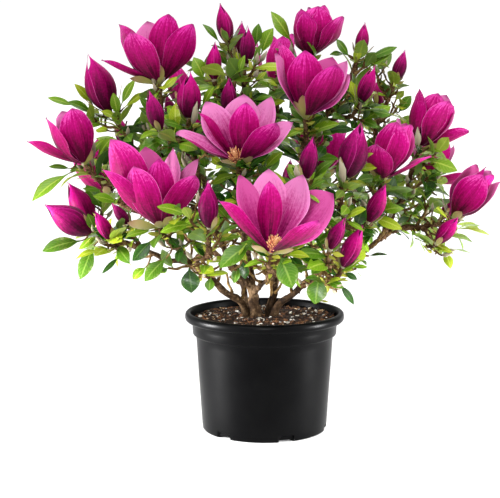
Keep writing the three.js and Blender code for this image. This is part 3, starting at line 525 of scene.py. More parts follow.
def centre_line(foot, foot_way, tip, tip_way, key):
    """A limb's centre line from 0 at its foot to 1 at its tip: a cubic Bezier whose handles are 0.35
    of the span, with a sway of 0.022 of the span that two sines turn round it."""
    span = np.linalg.norm(tip - foot)
    handle = span * 0.35
    across, over = square_to(unit(tip - foot))
    first, second = draw(key, 1), draw(key, 2)

    def at(share):
        share = np.asarray(share, float)[..., None]
        left = 1 - share
        bend = (left ** 3 * foot + 3 * left ** 2 * share * (foot + handle * foot_way)
                + 3 * left * share ** 2 * (tip - handle * tip_way) + share ** 3 * tip)
        swing = np.sin(np.pi * share) * span * 0.022
        return (bend + swing * np.sin(2 * np.pi * (first + 1.4 * share)) * across
                + swing * np.sin(2 * np.pi * (second + 1.9 * share)) * over)

    return {"at": at, "span": span, "key": key}


def way_along(line, share):
    """The way a line runs at a share of its length, over a hundredth on either side."""
    share = np.asarray(share, float)
    return unit(line["at"](np.minimum(share + 0.01, 1)) - line["at"](np.maximum(share - 0.01, 0)))


def rings_along(line, share, thick, sides):
    """Rings of points round a line: each lies square to it, thick millimetres out at even turns.
    Also gives the way from the line to each point."""
    share = np.asarray(share, float)
    thick = np.asarray(thick, float)[:, None]
    way = way_along(line, share)
    across = square_to(unit(line["at"](1.0) - line["at"](0.0)))[0]
    across = unit(across - way * np.sum(across * way, axis=-1, keepdims=True))
    over = np.cross(way, across)
    turn = even_turns(sides)
    round_way = np.cos(turn)[:, None] * across[:, None] + np.sin(turn)[:, None] * over[:, None]
    rings = line["at"](share)[:, None] + np.broadcast_to(thick, (len(share), sides))[..., None] * round_way
    return rings, round_way


class Bundle:
    """Many closed surfaces gathered into one mesh. Each is a stack of rings of points, joined by
    quads, with a fan over each end. On its map, u goes round a ring and v from foot to tip."""

    def __init__(self):
        self.points, self.quads, self.fans, self.quad_maps, self.fan_maps = [], [], [], [], []
        self.count = 0

    def add(self, rings):
        """Adds one stack of rings, or several of the same shape."""
        rings = np.asarray(rings, float)
        if rings.ndim == 3:
            rings = rings[None]
        many, rows, around, _ = rings.shape
        ends = np.stack([rings[:, 0].mean(axis=1), rings[:, -1].mean(axis=1)], axis=1)
        size = rows * around + 2
        self.points.append(np.concatenate([rings.reshape(many, -1, 3), ends], axis=1).reshape(-1, 3))
        start = self.count + size * np.arange(many)[:, None, None]
        self.quads.append((grid_faces(rows, around)[None] + start).reshape(-1, 4))
        fans = [fan_faces(size - 2, 0, around, flip=True),
                fan_faces(size - 1, (rows - 1) * around, around, flip=False)]
        self.fans.append((np.concatenate(fans)[None] + start).reshape(-1, 3))
        here = np.arange(around)
        row, place = np.meshgrid(np.arange(rows - 1), here, indexing="ij")
        u = np.stack([place, place + 1, place + 1, place], axis=-1) / around
        v = np.stack([row, row, row + 1, row + 1], axis=-1) / (rows - 1)
        self.quad_maps.append(np.tile(np.stack([u, v], axis=-1).reshape(-1, 2), (many, 1)))
        middle, left, right = (here + 0.5) / around, here / around, (here + 1) / around
        fan_map = [np.stack([np.stack([middle, *sides], axis=-1), np.full((around, 3), v)], axis=-1)
                   for sides, v in (((right, left), 0.0), ((left, right), 1.0))]
        self.fan_maps.append(np.tile(np.concatenate(fan_map).reshape(-1, 2), (many, 1)))
        self.count += many * size

    def add_tube(self, line, share, thick, sides):
        """Adds a tube along a line, of so many millimetres' radius at each share of its length."""
        self.add(rings_along(line, share, thick, sides)[0])

    def mesh(self, name):
        """All that was added, as one mesh."""
        faces = [np.concatenate(self.quads), np.concatenate(self.fans)]
        corner_uvs = np.concatenate(self.quad_maps + self.fan_maps)
        return new_mesh(name, np.concatenate(self.points), faces, corner_uvs)


def limb_line(entry, key, slim, limbs):
    """The centre line and radius of a limb of the table, which leaves its parent part way along it,
    or rises straight from the bed. Its foot flares by a share that dies away up the limb."""
    _, start, share, tip, thick = entry
    tip = np.array(tip, float)
    if share == 0:
        foot = np.array(start, float)
        aim = unit(tip - foot)
        foot_way, flare = UP, FLARE["root"]
    else:
        foot = limbs[start]["at"](share)
        aim = unit(tip - foot)
        foot_way, flare = unit(0.4 * way_along(limbs[start], share) + aim), FLARE["fork"]
    line = centre_line(foot, foot_way, tip, unit(aim + 0.35 * UP), key)
    line["radius"] = lambda along: slim * (thick[0] + (thick[1] - thick[0]) * along) * (
        1 + flare * np.exp(-along * line["span"] / FLARE["reach"]))
    return line


def bark_relief(line, share, spots, round_way):
    """How far the bark stands out at each point, in millimetres: cloudy lumps, lengthwise ridges
    that fade up the limb, and a ring of swelling at each old spur."""
    radius = line["radius"](share)[:, None]
    lumps = 0.08 * radius * cloud(spots, 11, 21) + 0.06 * radius * cloud(spots, 4.5, 22)
    ridge_spots = round_way * 5.5 + (share * line["span"] / 9)[:, None, None] * np.array([1.0, 1.7, 0.6])
    ridges = 0.1 * radius * cloud(ridge_spots, 1.6, line["key"])
    knots = 0
    for knot in range(int(line["span"] / KNOT_EVERY)):
        middle = (knot + 0.25 + 0.6 * draw(line["key"], 31, knot)) * KNOT_EVERY / line["span"]
        side = 2 * np.pi * draw(line["key"], 32, knot)
        lean = round_way[..., 0] * math.cos(side) + round_way[..., 2] * math.sin(side)
        near = np.exp(-((share - middle) * line["span"] / 3.2) ** 2)[:, None]
        knots = knots + near * (0.07 + 0.2 * np.clip(lean, 0, 1)) * radius
    return lumps + ridges + knots + 0.12 * cloud(spots, 1.3, 23)


def bark_finish(name, dark, middle, light, fine_by):
    """Bark: two clouds of noise blend dark, middle and light wood, with pale pores, a dry rough
    surface and a fine relief."""
    finish = Finish(name, middle, 0.86, Specular_IOR_Level=0.1)
    where = finish.where()
    fine = finish.noise(where, 230 * fine_by, 5, 0.65)
    broad = finish.sum("MULTIPLY", finish.noise(where, 38 * fine_by), 0.5)
    mixed = finish.sum("MULTIPLY_ADD", fine, 0.55, broad)
    colour = finish.ramp(mixed, [(0.38, dark), (0.52, middle), (0.66, light)])
    pores = finish.node("TexVoronoi", {"Vector": where, "Scale": 420 * fine_by}).outputs["Distance"]
    pale = finish.sum("MULTIPLY", finish.band(pores, 0.18, 0.1), 0.4)
    finish.feed("Base Color", finish.blend(pale, colour, light))
    finish.relief(fine, 0.8, 0.0012)
    return finish


limbs = {}
for kind, table, first_key in (("stem", STEMS, 100), ("bough", BOUGHS, 200)):
    wood = Bundle()
    for number, entry in enumerate(table):
        line = limb_line(entry, first_key + number, SLIM[kind], limbs)
        limbs[entry[0]] = line
        share = np.linspace(0, 1, max(int(line["span"] / RING_EVERY), 12))
        from_bed = entry[2] == 0
        if from_bed:  # one more ring, let down into the bed
            share = np.concatenate([[0], share])
        rings, round_way = rings_along(line, share, line["radius"](share), LIMB_SIDES)
        rings = rings + bark_relief(line, share, rings, round_way)[..., None] * round_way
        if from_bed:
            rings[0, :, 2] = SOIL_TOP - FOOT_SUNK
        wood.add(rings)
        for spur in range(int(line["span"] / SPUR["every"])):
            along = (spur + SPUR["first"] + SPUR["vary"] * draw(line["key"], 41, spur)) * SPUR["every"]
            along = along / line["span"]
            if along > SPUR["last"]:
                continue
            way = branch_way(way_along(line, along), 360 * draw(line["key"], 42, spur), SPUR["out"])
            foot = line["at"](along)
            tall = line["radius"](along) + SPUR["proud"] + SPUR["more"] * draw(line["key"], 43, spur)
            stub = centre_line(foot, way, foot + way * tall, unit(way + SPUR["rise"] * UP), 7000 + spur)
            wood.add_tube(stub, SPUR["at"], SPUR["thick"], SPUR["sides"])
    limbs_made = [entry[0] for entry in table]
    place_piece(wood.mesh(kind + "_bark"), bark_finish(*BARKS[kind]), limbs_made, sharp=60)

# ---- where the sprays grow ----
# Each spray is one stem that grows on from a bough or stem, a twig to each of its flowers, short
# leafy shoots along those, and finer twigs on the shoots. The seats are where flowers sit.

# name, the limb it leaves, the share of its length; then each flower: how far it has opened, seat,
# degrees it leans, bearing it leans to, length, turn of its first tepal
SPRAYS = [
    ("spray_low_left", "bough_low_left", 1, [
        ("plump", (-242, -60, 293), 55, 192, 76, 0), ("plump", (-248, 4, 301), 29, 180, 66, 0),
        ("bud", (-211, -100, 289), 26, 203, 45, 0), ("bud", (-193, -30, 301), 34, 198, 38, 0)]),
    ("spray_left", "bough_upper_left", 0.5, [("half", (-254, -30, 387), 24, 192, 88, 62)]),
    ("spray_front_left", "bough_front_left", 1, [("goblet", (-139, -160, 315), 17, 244, 112, 66)]),
    ("spray_low_middle", "bough_front_left", 0.6, [("bud", (-73, -210, 319), 15, 263, 63, 0)]),
    ("spray_upper_left", "bough_upper_left", 0.75, [("plump", (-223, 30, 459), 22, 180, 86, 0)]),
    ("spray_top_left", "bough_upper_left", 1, [
        ("goblet", (-147, -30, 499), 9, 250, 98, 56), ("bud", (-132, 30, 440), 12, 120, 44, 0)]),
    ("spray_inner_left", "bough_inner_left", 1, [
        ("plump", (-104, -80, 453), 5, 256, 64, 0), ("bud", (-141, -110, 438), 20, 211, 56, 0)]),
    ("spray_front", "bough_front", 1, [("wide", (-36, -150, 396), 28, 276, 102, 30)]),
    ("spray_crown", "bough_crown", 1, [
        ("bud", (-52, 20, 555), 11, 180, 57, 0), ("bud", (-36, 62, 534), 8, 78, 54, 0)]),
    ("spray_crown_front", "bough_crown", 0.7, [
        ("bud", (-27, -30, 526), 10, 328, 52, 0), ("bud", (-71, -34, 504), 6, 241, 52, 0)]),
    ("spray_heart", "stem_middle", 0.86, [("bud", (-50, -58, 454), 5, 265, 54, 0)]),
    ("spray_low_front", "bough_low_front", 1, [("wide", (5, -250, 293), 30, 277, 100, 0)]),
    ("spray_middle_front", "bough_low_front", 0.6, [
        ("bud", (52, -190, 380), 13, 289, 56, 0), ("bud", (30, -84, 356), 9, 328, 42, 0)]),
    ("spray_top_right", "bough_top_right", 1, [
        ("cup", (67, 20, 536), 2, 180, 84, 80), ("bud", (27, 4, 503), 7, 180, 52, 0)]),
    ("spray_upper_front", "bough_upper_front", 1, [("goblet", (53, -120, 456), 12, 282, 93, 226)]),
    ("spray_upper_right", "bough_top_right", 0.72, [
        ("bud", (135, 30, 539), 14, 0, 46, 0), ("bud", (132, -50, 473), 17, 343, 54, 0)]),
    ("spray_right", "bough_right", 1, [("half", (157, -120, 373), 21, 337, 88, 230)]),
    ("spray_far_right", "bough_far_right", 0.8, [("half", (222, 10, 409), 16, 0, 86, 236)]),
    ("spray_right_front", "bough_right_front", 1, [
        ("plump", (104, -180, 381), 18, 326, 74, 0), ("bud", (137, -130, 317), 27, 338, 57, 0)]),
    ("spray_low_right", "stem_right", 0.55, [
        ("bud", (102, -160, 261), 27, 326, 61, 0), ("bud", (83, -190, 288), 24, 320, 46, 0)]),
    ("spray_far_low_right", "bough_far_right", 1, [
        ("half", (262, -52, 316), 38, 345, 82, 236), ("bud", (232, -112, 286), 40, 315, 52, 0)]),
    ("spray_right_top", "bough_back_far_right", 0.6, [
        ("bud", (190, 60, 500), 21, 10, 48, 0), ("bud", (172, 120, 462), 24, 70, 50, 0)]),
    ("spray_back_left", "bough_back_left", 1, [
        ("wide", (-98, 205, 372), 32, 100, 96, 10), ("bud", (-168, 196, 318), 36, 130, 54, 0)]),
    ("spray_back_low", "bough_back_left", 0.6, [
        ("plump", (-8, 232, 268), 34, 92, 70, 0), ("bud", (-70, 236, 264), 40, 110, 50, 0)]),
    ("spray_back_far_left", "bough_back_far_left", 1, [
        ("half", (-236, 128, 330), 34, 150, 84, 30), ("bud", (-208, 112, 402), 20, 160, 50, 0)]),
    ("spray_back_upper_left", "bough_back_top", 0.6, [
        ("plump", (-122, 124, 462), 16, 130, 72, 0), ("bud", (-66, 172, 446), 20, 110, 52, 0)]),
    ("spray_back_top", "bough_back_top", 1, [("goblet", (22, 128, 478), 15, 80, 92, 40)]),
    ("spray_back_right", "bough_back_right", 1, [
        ("wide", (92, 214, 350), 32, 78, 96, 50), ("bud", (54, 196, 424), 18, 95, 50, 0)]),
    ("spray_back_low_right", "bough_back_right", 0.7, [("bud", (158, 196, 276), 40, 50, 56, 0)]),
    ("spray_back_far_right", "bough_back_far_right", 1, [
        ("half", (238, 124, 350), 32, 35, 84, 80), ("bud", (262, 60, 300), 40, 10, 50, 0)]),
]
TWIG = {"foot": 4.6, "tip": 3.0, "side": 3.6, "shoot": 2.3, "side_tip": 2.7}
BUD_WIDE = {"bud": 0.2, "plump": 0.25}
GOLDEN = 137.5

# count, splay, close, length, width, curl: rings of tepals from the inside out
OPENINGS = {
    "cup": [(3, 42, -26, 0.95, 0.58, 50), (3, 60, -27, 1, 0.62, 48)],
    "half": [(3, 40, -20, 0.96, 0.54, 48), (3, 64, -15, 1, 0.58, 46), (1, 90, 50, 0.94, 0.46, 46)],
    "goblet": [(3, 38, -14, 0.96, 0.5, 48), (4, 66, -4, 1, 0.53, 46), (1, 90, 50, 0.9, 0.44, 46)],
    "wide": [(3, 44, 4, 0.92, 0.46, 46), (5, 76, 14, 1, 0.5, 44)],
}
RISES = (5, 0, 1)
OUTWARDS = (4, 4, 3)

# Flowers whose tepals are placed one by one, by their spray: each tepal's tip, the bearing that its
# outer face turns to, degrees it bends inwards, width, half angle of its cross-section, and the
# bearing it is rooted on where that differs.
PETALS = {
    "spray_top_left": [
        ((-202, -28, 579), 204, 84, 84, 44), ((-182, -70, 568), 238, 56, 62, 46),
        ((-132, -52, 592), 285, 52, 58, 48), ((-166, 2, 584), 95, 45, 58, 46),
        ((-148, 6, 577), 50, 45, 54, 46), ((-100, -40, 579), 312, 50, 54, 52),
        ((-226, -35, 530), 196, 26, 30, 70)],
    "spray_front_left": [
        ((-202, -168, 428), 246, 72, 80, 40), ((-161, -120, 415), 100, 38, 50, 42),
        ((-123, -128, 414), 42, 42, 54, 42), ((-88, -158, 402), 30, 24, 46, 44),
        ((-90, -202, 383), 306, 20, 46, 48), ((-169, -200, 395), 258, 60, 50, 46),
        ((-137, -194, 404), 286, 55, 48, 46), ((-210, -194, 391), 230, 28, 43, 74)],
    "spray_front": [
        ((-116, -175, 436), 190, 30, 54, 66), ((-88, -146, 462), 224, 24, 34, 50),
        ((-79, -138, 475), 122, 22, 46, 38), ((-30, -110, 484), 92, 30, 54, 36),
        ((-26, -162, 475), 272, 46, 50, 44, 20), ((7, -120, 482), 48, 32, 58, 36),
        ((13, -192, 449), 304, 38, 52, 46), ((35, -156, 449), 24, 28, 46, 42)],
    "spray_low_front": [
        ((-60, -276, 359), 228, 30, 43, 74), ((-34, -232, 386), 140, 30, 50, 40),
        ((2, -210, 392), 95, 32, 50, 36), ((3, -256, 381), 254, 40, 44, 50, 180),
        ((45, -228, 387), 50, 32, 64, 34), ((82, -254, 365), 34, 30, 74, 40),
        ((60, -340, 341), 292, 36, 38, 62)],
    "spray_top_right": [
        ((51, 8, 602), 214, 104, 74, 46), ((74, 0, 605), 276, 86, 66, 46),
        ((83, 12, 607), 325, 82, 62, 46), ((63, 28, 605), 150, 78, 60, 46),
        ((110, 6, 591), 334, 56, 56, 46), ((79, 34, 606), 70, 78, 60, 46)],
    "spray_upper_front": [
        ((17, -110, 553), 222, 38, 44, 45), ((13, -130, 538), 166, 46, 54, 46),
        ((51, -142, 542), 264, 58, 62, 44), ((90, -166, 523), 310, 48, 64, 42),
        ((111, -124, 511), 28, 36, 50, 44), ((89, -94, 534), 62, 42, 58, 42),
        ((108, -110, 529), 32, 46, 52, 42)],
    "spray_left": [
        ((-304, -42, 451), 200, 86, 70, 48), ((-267, -46, 464), 296, 66, 62, 48),
        ((-285, -20, 459), 120, 55, 54, 46), ((-263, -16, 455), 30, 60, 52, 46),
        ((-331, -40, 418), 214, 34, 36, 66)],
    "spray_right": [
        ((172, -142, 449), 250, 58, 60, 46), ((191, -134, 445), 318, 60, 60, 46),
        ((178, -108, 452), 160, 52, 54, 46), ((189, -98, 446), 60, 52, 54, 46),
        ((144, -170, 421), 245, 58, 46, 46), ((219, -134, 403), 352, 26, 38, 62)],
    "spray_far_right": [
        ((220, 10, 490), 198, 78, 62, 46), ((244, -4, 484), 250, 66, 62, 46),
        ((260, 20, 481), 70, 58, 56, 46), ((259, -14, 473), 308, 68, 62, 46),
        ((270, 12, 466), 30, 52, 50, 44), ((290, 2, 430), 330, 30, 30, 66)],
}
HEARTS = {
    "spray_front": (-47, -180, 426),
    "spray_low_front": (21, -278, 333),
}


def flat_to(bearing, axis):
    """The direction square to an axis that is nearest to a level bearing."""
    level = way_of(90, bearing)
    return unit(level - axis * np.dot(level, axis))


def midrib_turn(splay, close, flick, along):
    """Degrees that a midrib stands off the axis at shares of its length: a narrow upright neck, then
    splay at the foot, which eases to close by 1 - (1 - s)^1.6, and a flick out at the tip."""
    eased = 1 - (1 - along) ** 1.6
    return splay + (close - splay) * eased - 24 * np.exp(-along / 0.07) + flick * smooth_step(0.72, 1, along)


def tepal_reaching(seat, axis, tip, faces, bulge, width, curl, root=None, flick=12):
    """A tepal from a seat to its tip. Its midrib bends inwards by bulge degrees along its length,
    and its length is its chord over that of a unit curve of the same bend."""
    outward = flat_to(faces, axis)
    start = seat + 4 * (flat_to(root, axis) if root is not None else outward) + axis
    chord = np.array(tip, float) - start
    out = np.dot(chord, outward)
    upward = chord - out * outward
    turned = np.radians(midrib_turn(0, -bulge, flick, np.linspace(0, 1, 121)))
    end_out, end_up = np.sin(turned).mean(), np.cos(turned).mean()
    up = np.linalg.norm(upward)
    splay = math.degrees(math.atan2(out, up) - math.atan2(end_out, end_up))
    length = math.hypot(out, up) / math.hypot(end_out, end_up)
    return {"seat": start - 4 * outward, "axis": upward / up, "outward": outward, "foot": 4, "rise": 0,
            "splay": splay, "close": splay - bulge, "length": length, "width": width, "curl": curl,
            "flick": flick, "tuck": 1.5}


def tepals_of(name, opens, seat, axis, length, turn, key):
    """An open flower's tepals: those placed one by one, or else ring by ring, where each one's
    bearing, splay at the foot, close at the tip and size vary a little by a draw of its own."""
    if name in PETALS:
        return [tepal_reaching(seat, axis, *petal, flick=6 + 16 * draw(key, number, 8))
                | {"aside": draw(key, number, 9) - 0.5} for number, petal in enumerate(PETALS[name])]
    found = []
    for ring, (count, splay, close, long, wide, curl) in enumerate(OPENINGS[opens]):
        for number in range(count):
            pick = [draw(key, ring, number, channel) - 0.5 for channel in range(6)]
            aside = draw(key, ring, number, 9) - 0.5
            found.append({
                "foot": OUTWARDS[ring], "rise": RISES[ring],
                "splay": splay + 10 * pick[2], "close": close + 12 * pick[3],
                "length": length * long * (1 + 0.1 * pick[4]), "width": length * wide * (1 + 0.08 * pick[5]),
                "curl": curl, "seat": seat, "axis": axis,
                "aside": aside, "flick": 14 + 30 * aside, "tuck": 1.5,
                "outward": branch_way(axis, turn + ring * 62 + 360 * number / count + 12 * pick[1], 90)})
    return found


sprays = []
for number, (name, limb, share, flowers) in enumerate(SPRAYS):
    twigs, blooms = [], []
    for place, (opens, seat, lean, toward, length, turn) in enumerate(flowers):
        key = 1000 + number * 10 + place
        seat, axis = np.array(seat, float), way_of(lean, toward)
        bearer, thick = limbs[limb], (TWIG["foot"], TWIG["tip"])
        if place > 0:  # the later flowers' twigs leave the first one's
            bearer, thick = twigs[0], (TWIG["side"], TWIG["side_tip"])
            steps = np.linspace(0, 1, 21)
            closest = steps[np.argmin(np.linalg.norm(bearer["at"](steps) - seat, axis=-1))]
            share = min(max(closest - 0.35, 0.08), 0.7)
        foot, foot_way = bearer["at"](share), way_along(bearer, share)
        twig = centre_line(foot, unit(0.5 * foot_way + unit(seat - foot)), seat, axis, key)
        twigs.append(twig | {"thick": thick, "opens": opens})
        tepals = tepals_of(name, opens, seat, axis, length, turn, key) if opens in OPENINGS else []
        blooms.append({"opens": opens, "seat": seat, "axis": axis, "length": length, "key": key,
                       "tepals": tepals, "heart": HEARTS.get(name)})
    sprays.append({"name": name, "twigs": twigs, "blooms": blooms})
spray_names = [spray["name"] for spray in sprays]


def sprays_with(kinds):
    """The names of the sprays that bear a flower or bud of these kinds."""
    return [spray["name"] for spray in sprays if any(bloom["opens"] in kinds for bloom in spray["blooms"])]


# ---- the open flowers ----
# Five to eight thick satin tepals in whorls: magenta outside, darkest at the foot and veined
# lengthwise, and paler inside; their paler edges, rims and tips are partly their own colour and
# partly painted highlight. Each is a shallow boat with a pointed tip, one edge tucked under its
# neighbour's, and grows from the seat at the end of a twig.

TEPAL_ROWS = 22
TEPAL_HALF = 10
# share of tepals that take the deep finish, a darker copy of the tepal finish that is painted shade
SHADED_TEPAL_SHARE = 0.34
# foot, middle, tip and pale tip with painted highlight of the outer face, its rim with painted
# highlight, then foot, middle and tip of the inner face
TEPAL_COLOURS = {
    "deep magenta tepal": [
        (0.055, 0.0, 0.016), (0.23, 0.0002, 0.065), (0.44, 0.001, 0.155), (0.68, 0.035, 0.35),
        (0.66, 0.12, 0.4), (0.15, 0.001, 0.05), (0.37, 0.018, 0.16), (0.54, 0.08, 0.29)],
    "bright magenta tepal": [
        (0.07, 0.0, 0.02), (0.27, 0.0002, 0.078), (0.48, 0.0015, 0.175), (0.77, 0.07, 0.42),
        (0.8, 0.24, 0.55), (0.15, 0.001, 0.052), (0.42, 0.03, 0.19), (0.68, 0.18, 0.44)],
    "pink magenta tepal": [
        (0.075, 0.0, 0.021), (0.27, 0.0002, 0.08), (0.48, 0.0015, 0.18), (0.76, 0.065, 0.41),
        (0.8, 0.27, 0.58), (0.16, 0.001, 0.055), (0.44, 0.04, 0.21), (0.68, 0.2, 0.46)],
    # a dark and a bright copy of the bud finish: painted shade and painted light
    "dark bud tepal": [
        (0.045, 0.0, 0.016), (0.13, 0.0003, 0.045), (0.33, 0.001, 0.125), (0.56, 0.025, 0.27),
        (0.42, 0.05, 0.22), (0.08, 0.001, 0.03), (0.24, 0.01, 0.12), (0.36, 0.03, 0.19)],
    "bright bud tepal": [
        (0.06, 0.0, 0.02), (0.24, 0.0003, 0.078), (0.46, 0.0008, 0.17), (0.6, 0.01, 0.28),
        (0.6, 0.1, 0.34), (0.12, 0.002, 0.05), (0.36, 0.02, 0.18), (0.48, 0.05, 0.26)],
}


def two_faced(half):
    """A blade's ring of points: how far aside each lies, from -1 to 1 over the outer face and back
    under it, and 0 or 1 for the outer or the inner face."""
    aside = np.sin(np.linspace(-np.pi / 2, np.pi / 2, half + 1))
    return np.concatenate([aside, aside[-2:0:-1]]), np.concatenate([np.zeros(half + 1), np.ones(half - 1)])


def tepal_outline(share):
    """A tepal's width along its length, as a share of its widest: a claw of 0.17 that swells by a
    sine to the shoulder at 0.6, and then closes by a power curve to a short point."""
    rising = 0.17 + 0.83 * np.sin(np.pi / 2 * np.minimum(share / 0.6, 1)) ** 1.2
    closing = np.clip((share - 0.6) / 0.4, 0, 1)
    return rising * (1 - closing ** 2.2) ** 0.92


def arrays_of(entries, names):
    """The named measures of a list of entries, each as one array."""
    return {name: np.array([entry[name] for entry in entries], float) for name in names.split()}


def blade_rings(seat, axis, outward, foot, rise, splay, close, length, width, curl, flick, tuck, aside,
                thick=1.0, rows=TEPAL_ROWS, half=TEPAL_HALF):
    """Boat-shaped blades, one for each entry of the arrays given, as rings for a Bundle. The midrib
    starts foot millimetres out and turns steadily from splay to close degrees off the axis, plus a
    flick at the tip. Across it the blade is an arc of at least curl degrees a side, tighter where it
    wraps the axis. tuck lifts one edge and lowers the other, aside sets where the edge waves, and
    thick scales the thickness. The first half of each ring is the outer face, the rest the inner."""
    share = np.linspace(0, 1, rows) ** 0.9 * 0.997
    fine = np.linspace(0, 1, 121)
    turned = np.radians(midrib_turn(splay[:, None], close[:, None], flick[:, None], fine[None]))
    step = length[:, None] / 120
    far = np.cumsum(np.sin(turned), axis=1) * step + foot[:, None]
    high = np.cumsum(np.cos(turned), axis=1) * step + rise[:, None]
    out, lift, turned = (np.array([np.interp(share, fine, row) for row in curve])
                         for curve in (far, high, turned))
    breadth = width[:, None] / 2 * tepal_outline(share)
    wrap = breadth * np.cos(turned) / np.maximum(out, 2.5)
    arc = np.maximum(np.radians(curl)[:, None] * (1 - 0.3 * share ** 2), np.minimum(0.8 * wrap, 1.15))
    arc = arc[..., None]
    ring, face = two_faced(half)
    side = np.cross(axis, outward)
    inward = axis[:, None] * np.sin(turned)[..., None] - outward[:, None] * np.cos(turned)[..., None]
    centre = seat[:, None] + outward[:, None] * out[..., None] + axis[:, None] * lift[..., None]
    bend = arc * ring
    across = breadth[..., None] * np.sin(bend) / arc
    raised = breadth[..., None] * (1 - np.cos(bend)) / arc
    raised = raised - tuck[:, None, None] * ring * smooth_step(0.05, 0.5, share)[:, None]
    ruffle = np.sin(aside[:, None] * 40 + share * 11) * 0.045
    raised = raised + (ruffle * breadth)[..., None] * ring ** 2 * np.sign(ring)
    raised = raised - (0.15 * breadth)[..., None] * ring ** 6
    raised = raised + (0.04 * breadth)[..., None] * np.exp(-(ring / 0.13) ** 2)
    shift = (face - 0.5) * ((thick * (1.25 - 0.6 * share))[:, None] * np.sqrt(1 - 0.94 * ring ** 2))
    across = across - shift * np.sin(bend)
    raised = raised + shift * np.cos(bend)
    return (centre[:, :, None] + side[:, None, None] * across[..., None]
            + inward[:, :, None] * raised[..., None])


BLADE = "seat axis outward foot rise splay close length width curl flick tuck aside"


def blade_parts(finish):
    """The place on a blade's own map, and of it how far aside of the midrib it lies, from 0 to 1 at
    the rim; whether it is on the inner face, 0 or 1; and how far along, from 0 to 1."""
    spot = finish.map_spot()
    parts = finish.node("SeparateXYZ", {"Vector": spot}).outputs
    folded = finish.sum("FRACT", finish.sum("MULTIPLY", parts["X"], 2.0))
    aside = finish.sum("ABSOLUTE", finish.sum("MULTIPLY_ADD", folded, 2.0, -1.0))
    return spot, aside, finish.sum("GREATER_THAN", parts["X"], 0.5), parts["Y"]


def streaks(finish, spot, across, along, detail, roughness=0.5):
    """Noise that is drawn out lengthwise on a blade's own map."""
    drawn_out = finish.node("Mapping", {"Vector": spot, "Scale": (across, along, 1)}).outputs["Vector"]
    return finish.noise(drawn_out, 1.0, detail, roughness)


def tepal_finish(name):
    """Satin tepal: on the blade's own map the outer face runs from foot to a pale tip colour that is partly
    painted highlight, and grows paler towards its edges, partly as painted highlight; the inner face has a
    ramp of its own. Both are streaked lengthwise by stretched noise and pale at the rim, partly as painted
    highlight."""
    foot, middle, tip, pale_tip_highlight, rim_and_highlight, inner_foot, inner_middle, inner_tip = TEPAL_COLOURS[name]
    finish = Finish(name, middle, 0.48, Specular_IOR_Level=0.07, Sheen_Weight=0.02, Sheen_Roughness=0.4,
                    Sheen_Tint=(1, 0.5, 0.8, 1), Subsurface_Weight=0.04, Subsurface_Scale=0.002,
                    Subsurface_Radius=(1.0, 0.05, 0.3))
    spot, aside, inside, along = blade_parts(finish)
    where = finish.where()
    vein = streaks(finish, spot, 70, 1.6, 3, 0.6)
    broad = streaks(finish, spot, 22, 0.9, 2)
    mottle = finish.sum("MULTIPLY", finish.noise(where, 330), 0.5)
    streak = finish.sum("MULTIPLY_ADD", vein, 0.85, finish.sum("MULTIPLY_ADD", broad, 0.45, mottle))
    # the outer face grows paler towards its edges: partly its own colour, partly painted highlight
    along_and_edge_highlight = finish.sum("MULTIPLY_ADD", finish.sum("POWER", aside, 2.6), 0.34, along)
    cloudy = finish.sum("MULTIPLY_ADD", finish.noise(where, 26, 2), 0.36, finish.sum("SUBTRACT", streak, 1.1))
    share = finish.sum("ADD", along_and_edge_highlight, cloudy)
    outer = finish.ramp(share, [(0.12, foot), (0.47, middle), (0.8, tip), (1.0, pale_tip_highlight)])
    inner = finish.ramp(share, [(0.06, inner_foot), (0.4, inner_middle), (0.78, inner_tip)])
    face = finish.blend(inside, outer, inner)
    # the pale rim is partly the tepal's own margin and partly painted highlight
    edged = finish.blend(finish.band(aside, 0.87, 0.96, 0.85), face, rim_and_highlight)
    finish.feed("Base Color", finish.blend(finish.band(along, 0.93, 1.0, 0.6), edged, foot))
    finish.relief(finish.sum("ADD", vein, broad), 0.3, 0.0009)
    return finish


SHADES = {"cup": "bright", "half": "bright", "goblet": "bright", "wide": "pink"}
blossom = {"deep": Bundle(), "bright": Bundle(), "pink": Bundle()}
blossom_spots = []
for spray in sprays:
    for bloom in spray["blooms"]:
        if not bloom["tepals"]:
            continue
        rings = blade_rings(**arrays_of(bloom["tepals"], BLADE))
        blossom_spots.append(rings[:, ::3, ::3].reshape(-1, 3))
        for number, blade in enumerate(rings):
            # a draw gives some tepals the darker deep copy of the finish, as painted shade on tepals in shade
            deep = draw(bloom["key"], 3893, number) < SHADED_TEPAL_SHARE
            blossom["deep" if deep else SHADES[bloom["opens"]]].add(blade)
for shade, bundle in blossom.items():
    finish = tepal_finish(shade + " magenta tepal")
    place_piece(bundle.mesh(shade + "_tepals"), finish, sprays_with(OPENINGS), sharp=55)

# ---- the stamens and pistils ----
# In the middle of each wide open flower stands a cone of carpels with curled stigmas, ringed by
# slim stamens, orange-pink and dark at the foot. All are fleshy and sit on the seat.

STAMENS = 60
STIGMAS = 26
SIZED_FOR = 110  # the measures here are for a flower of this length
STAMEN = ((0, 0.35, 0.8, 1.0), np.array([0.5, 0.55, 0.8, 0.35]))
CORE = ((0, 0.2, 0.45, 0.7, 0.9, 1.0), np.array([4.6, 4.4, 3.6, 3.2, 2.2, 0.6]))
STIGMA = ((0, 0.5, 1.0), np.array([0.8, 0.65, 0.3]))


def graded_finish(name, stops, roughness):
    """A finish that runs from foot to tip through its stops on the piece's own map."""
    finish = Finish(name, stops[0][1], roughness)
    along = finish.node("SeparateXYZ", {"Vector": finish.map_spot()}).outputs["Y"]
    finish.feed("Base Color", finish.ramp(along, stops))
    return finish


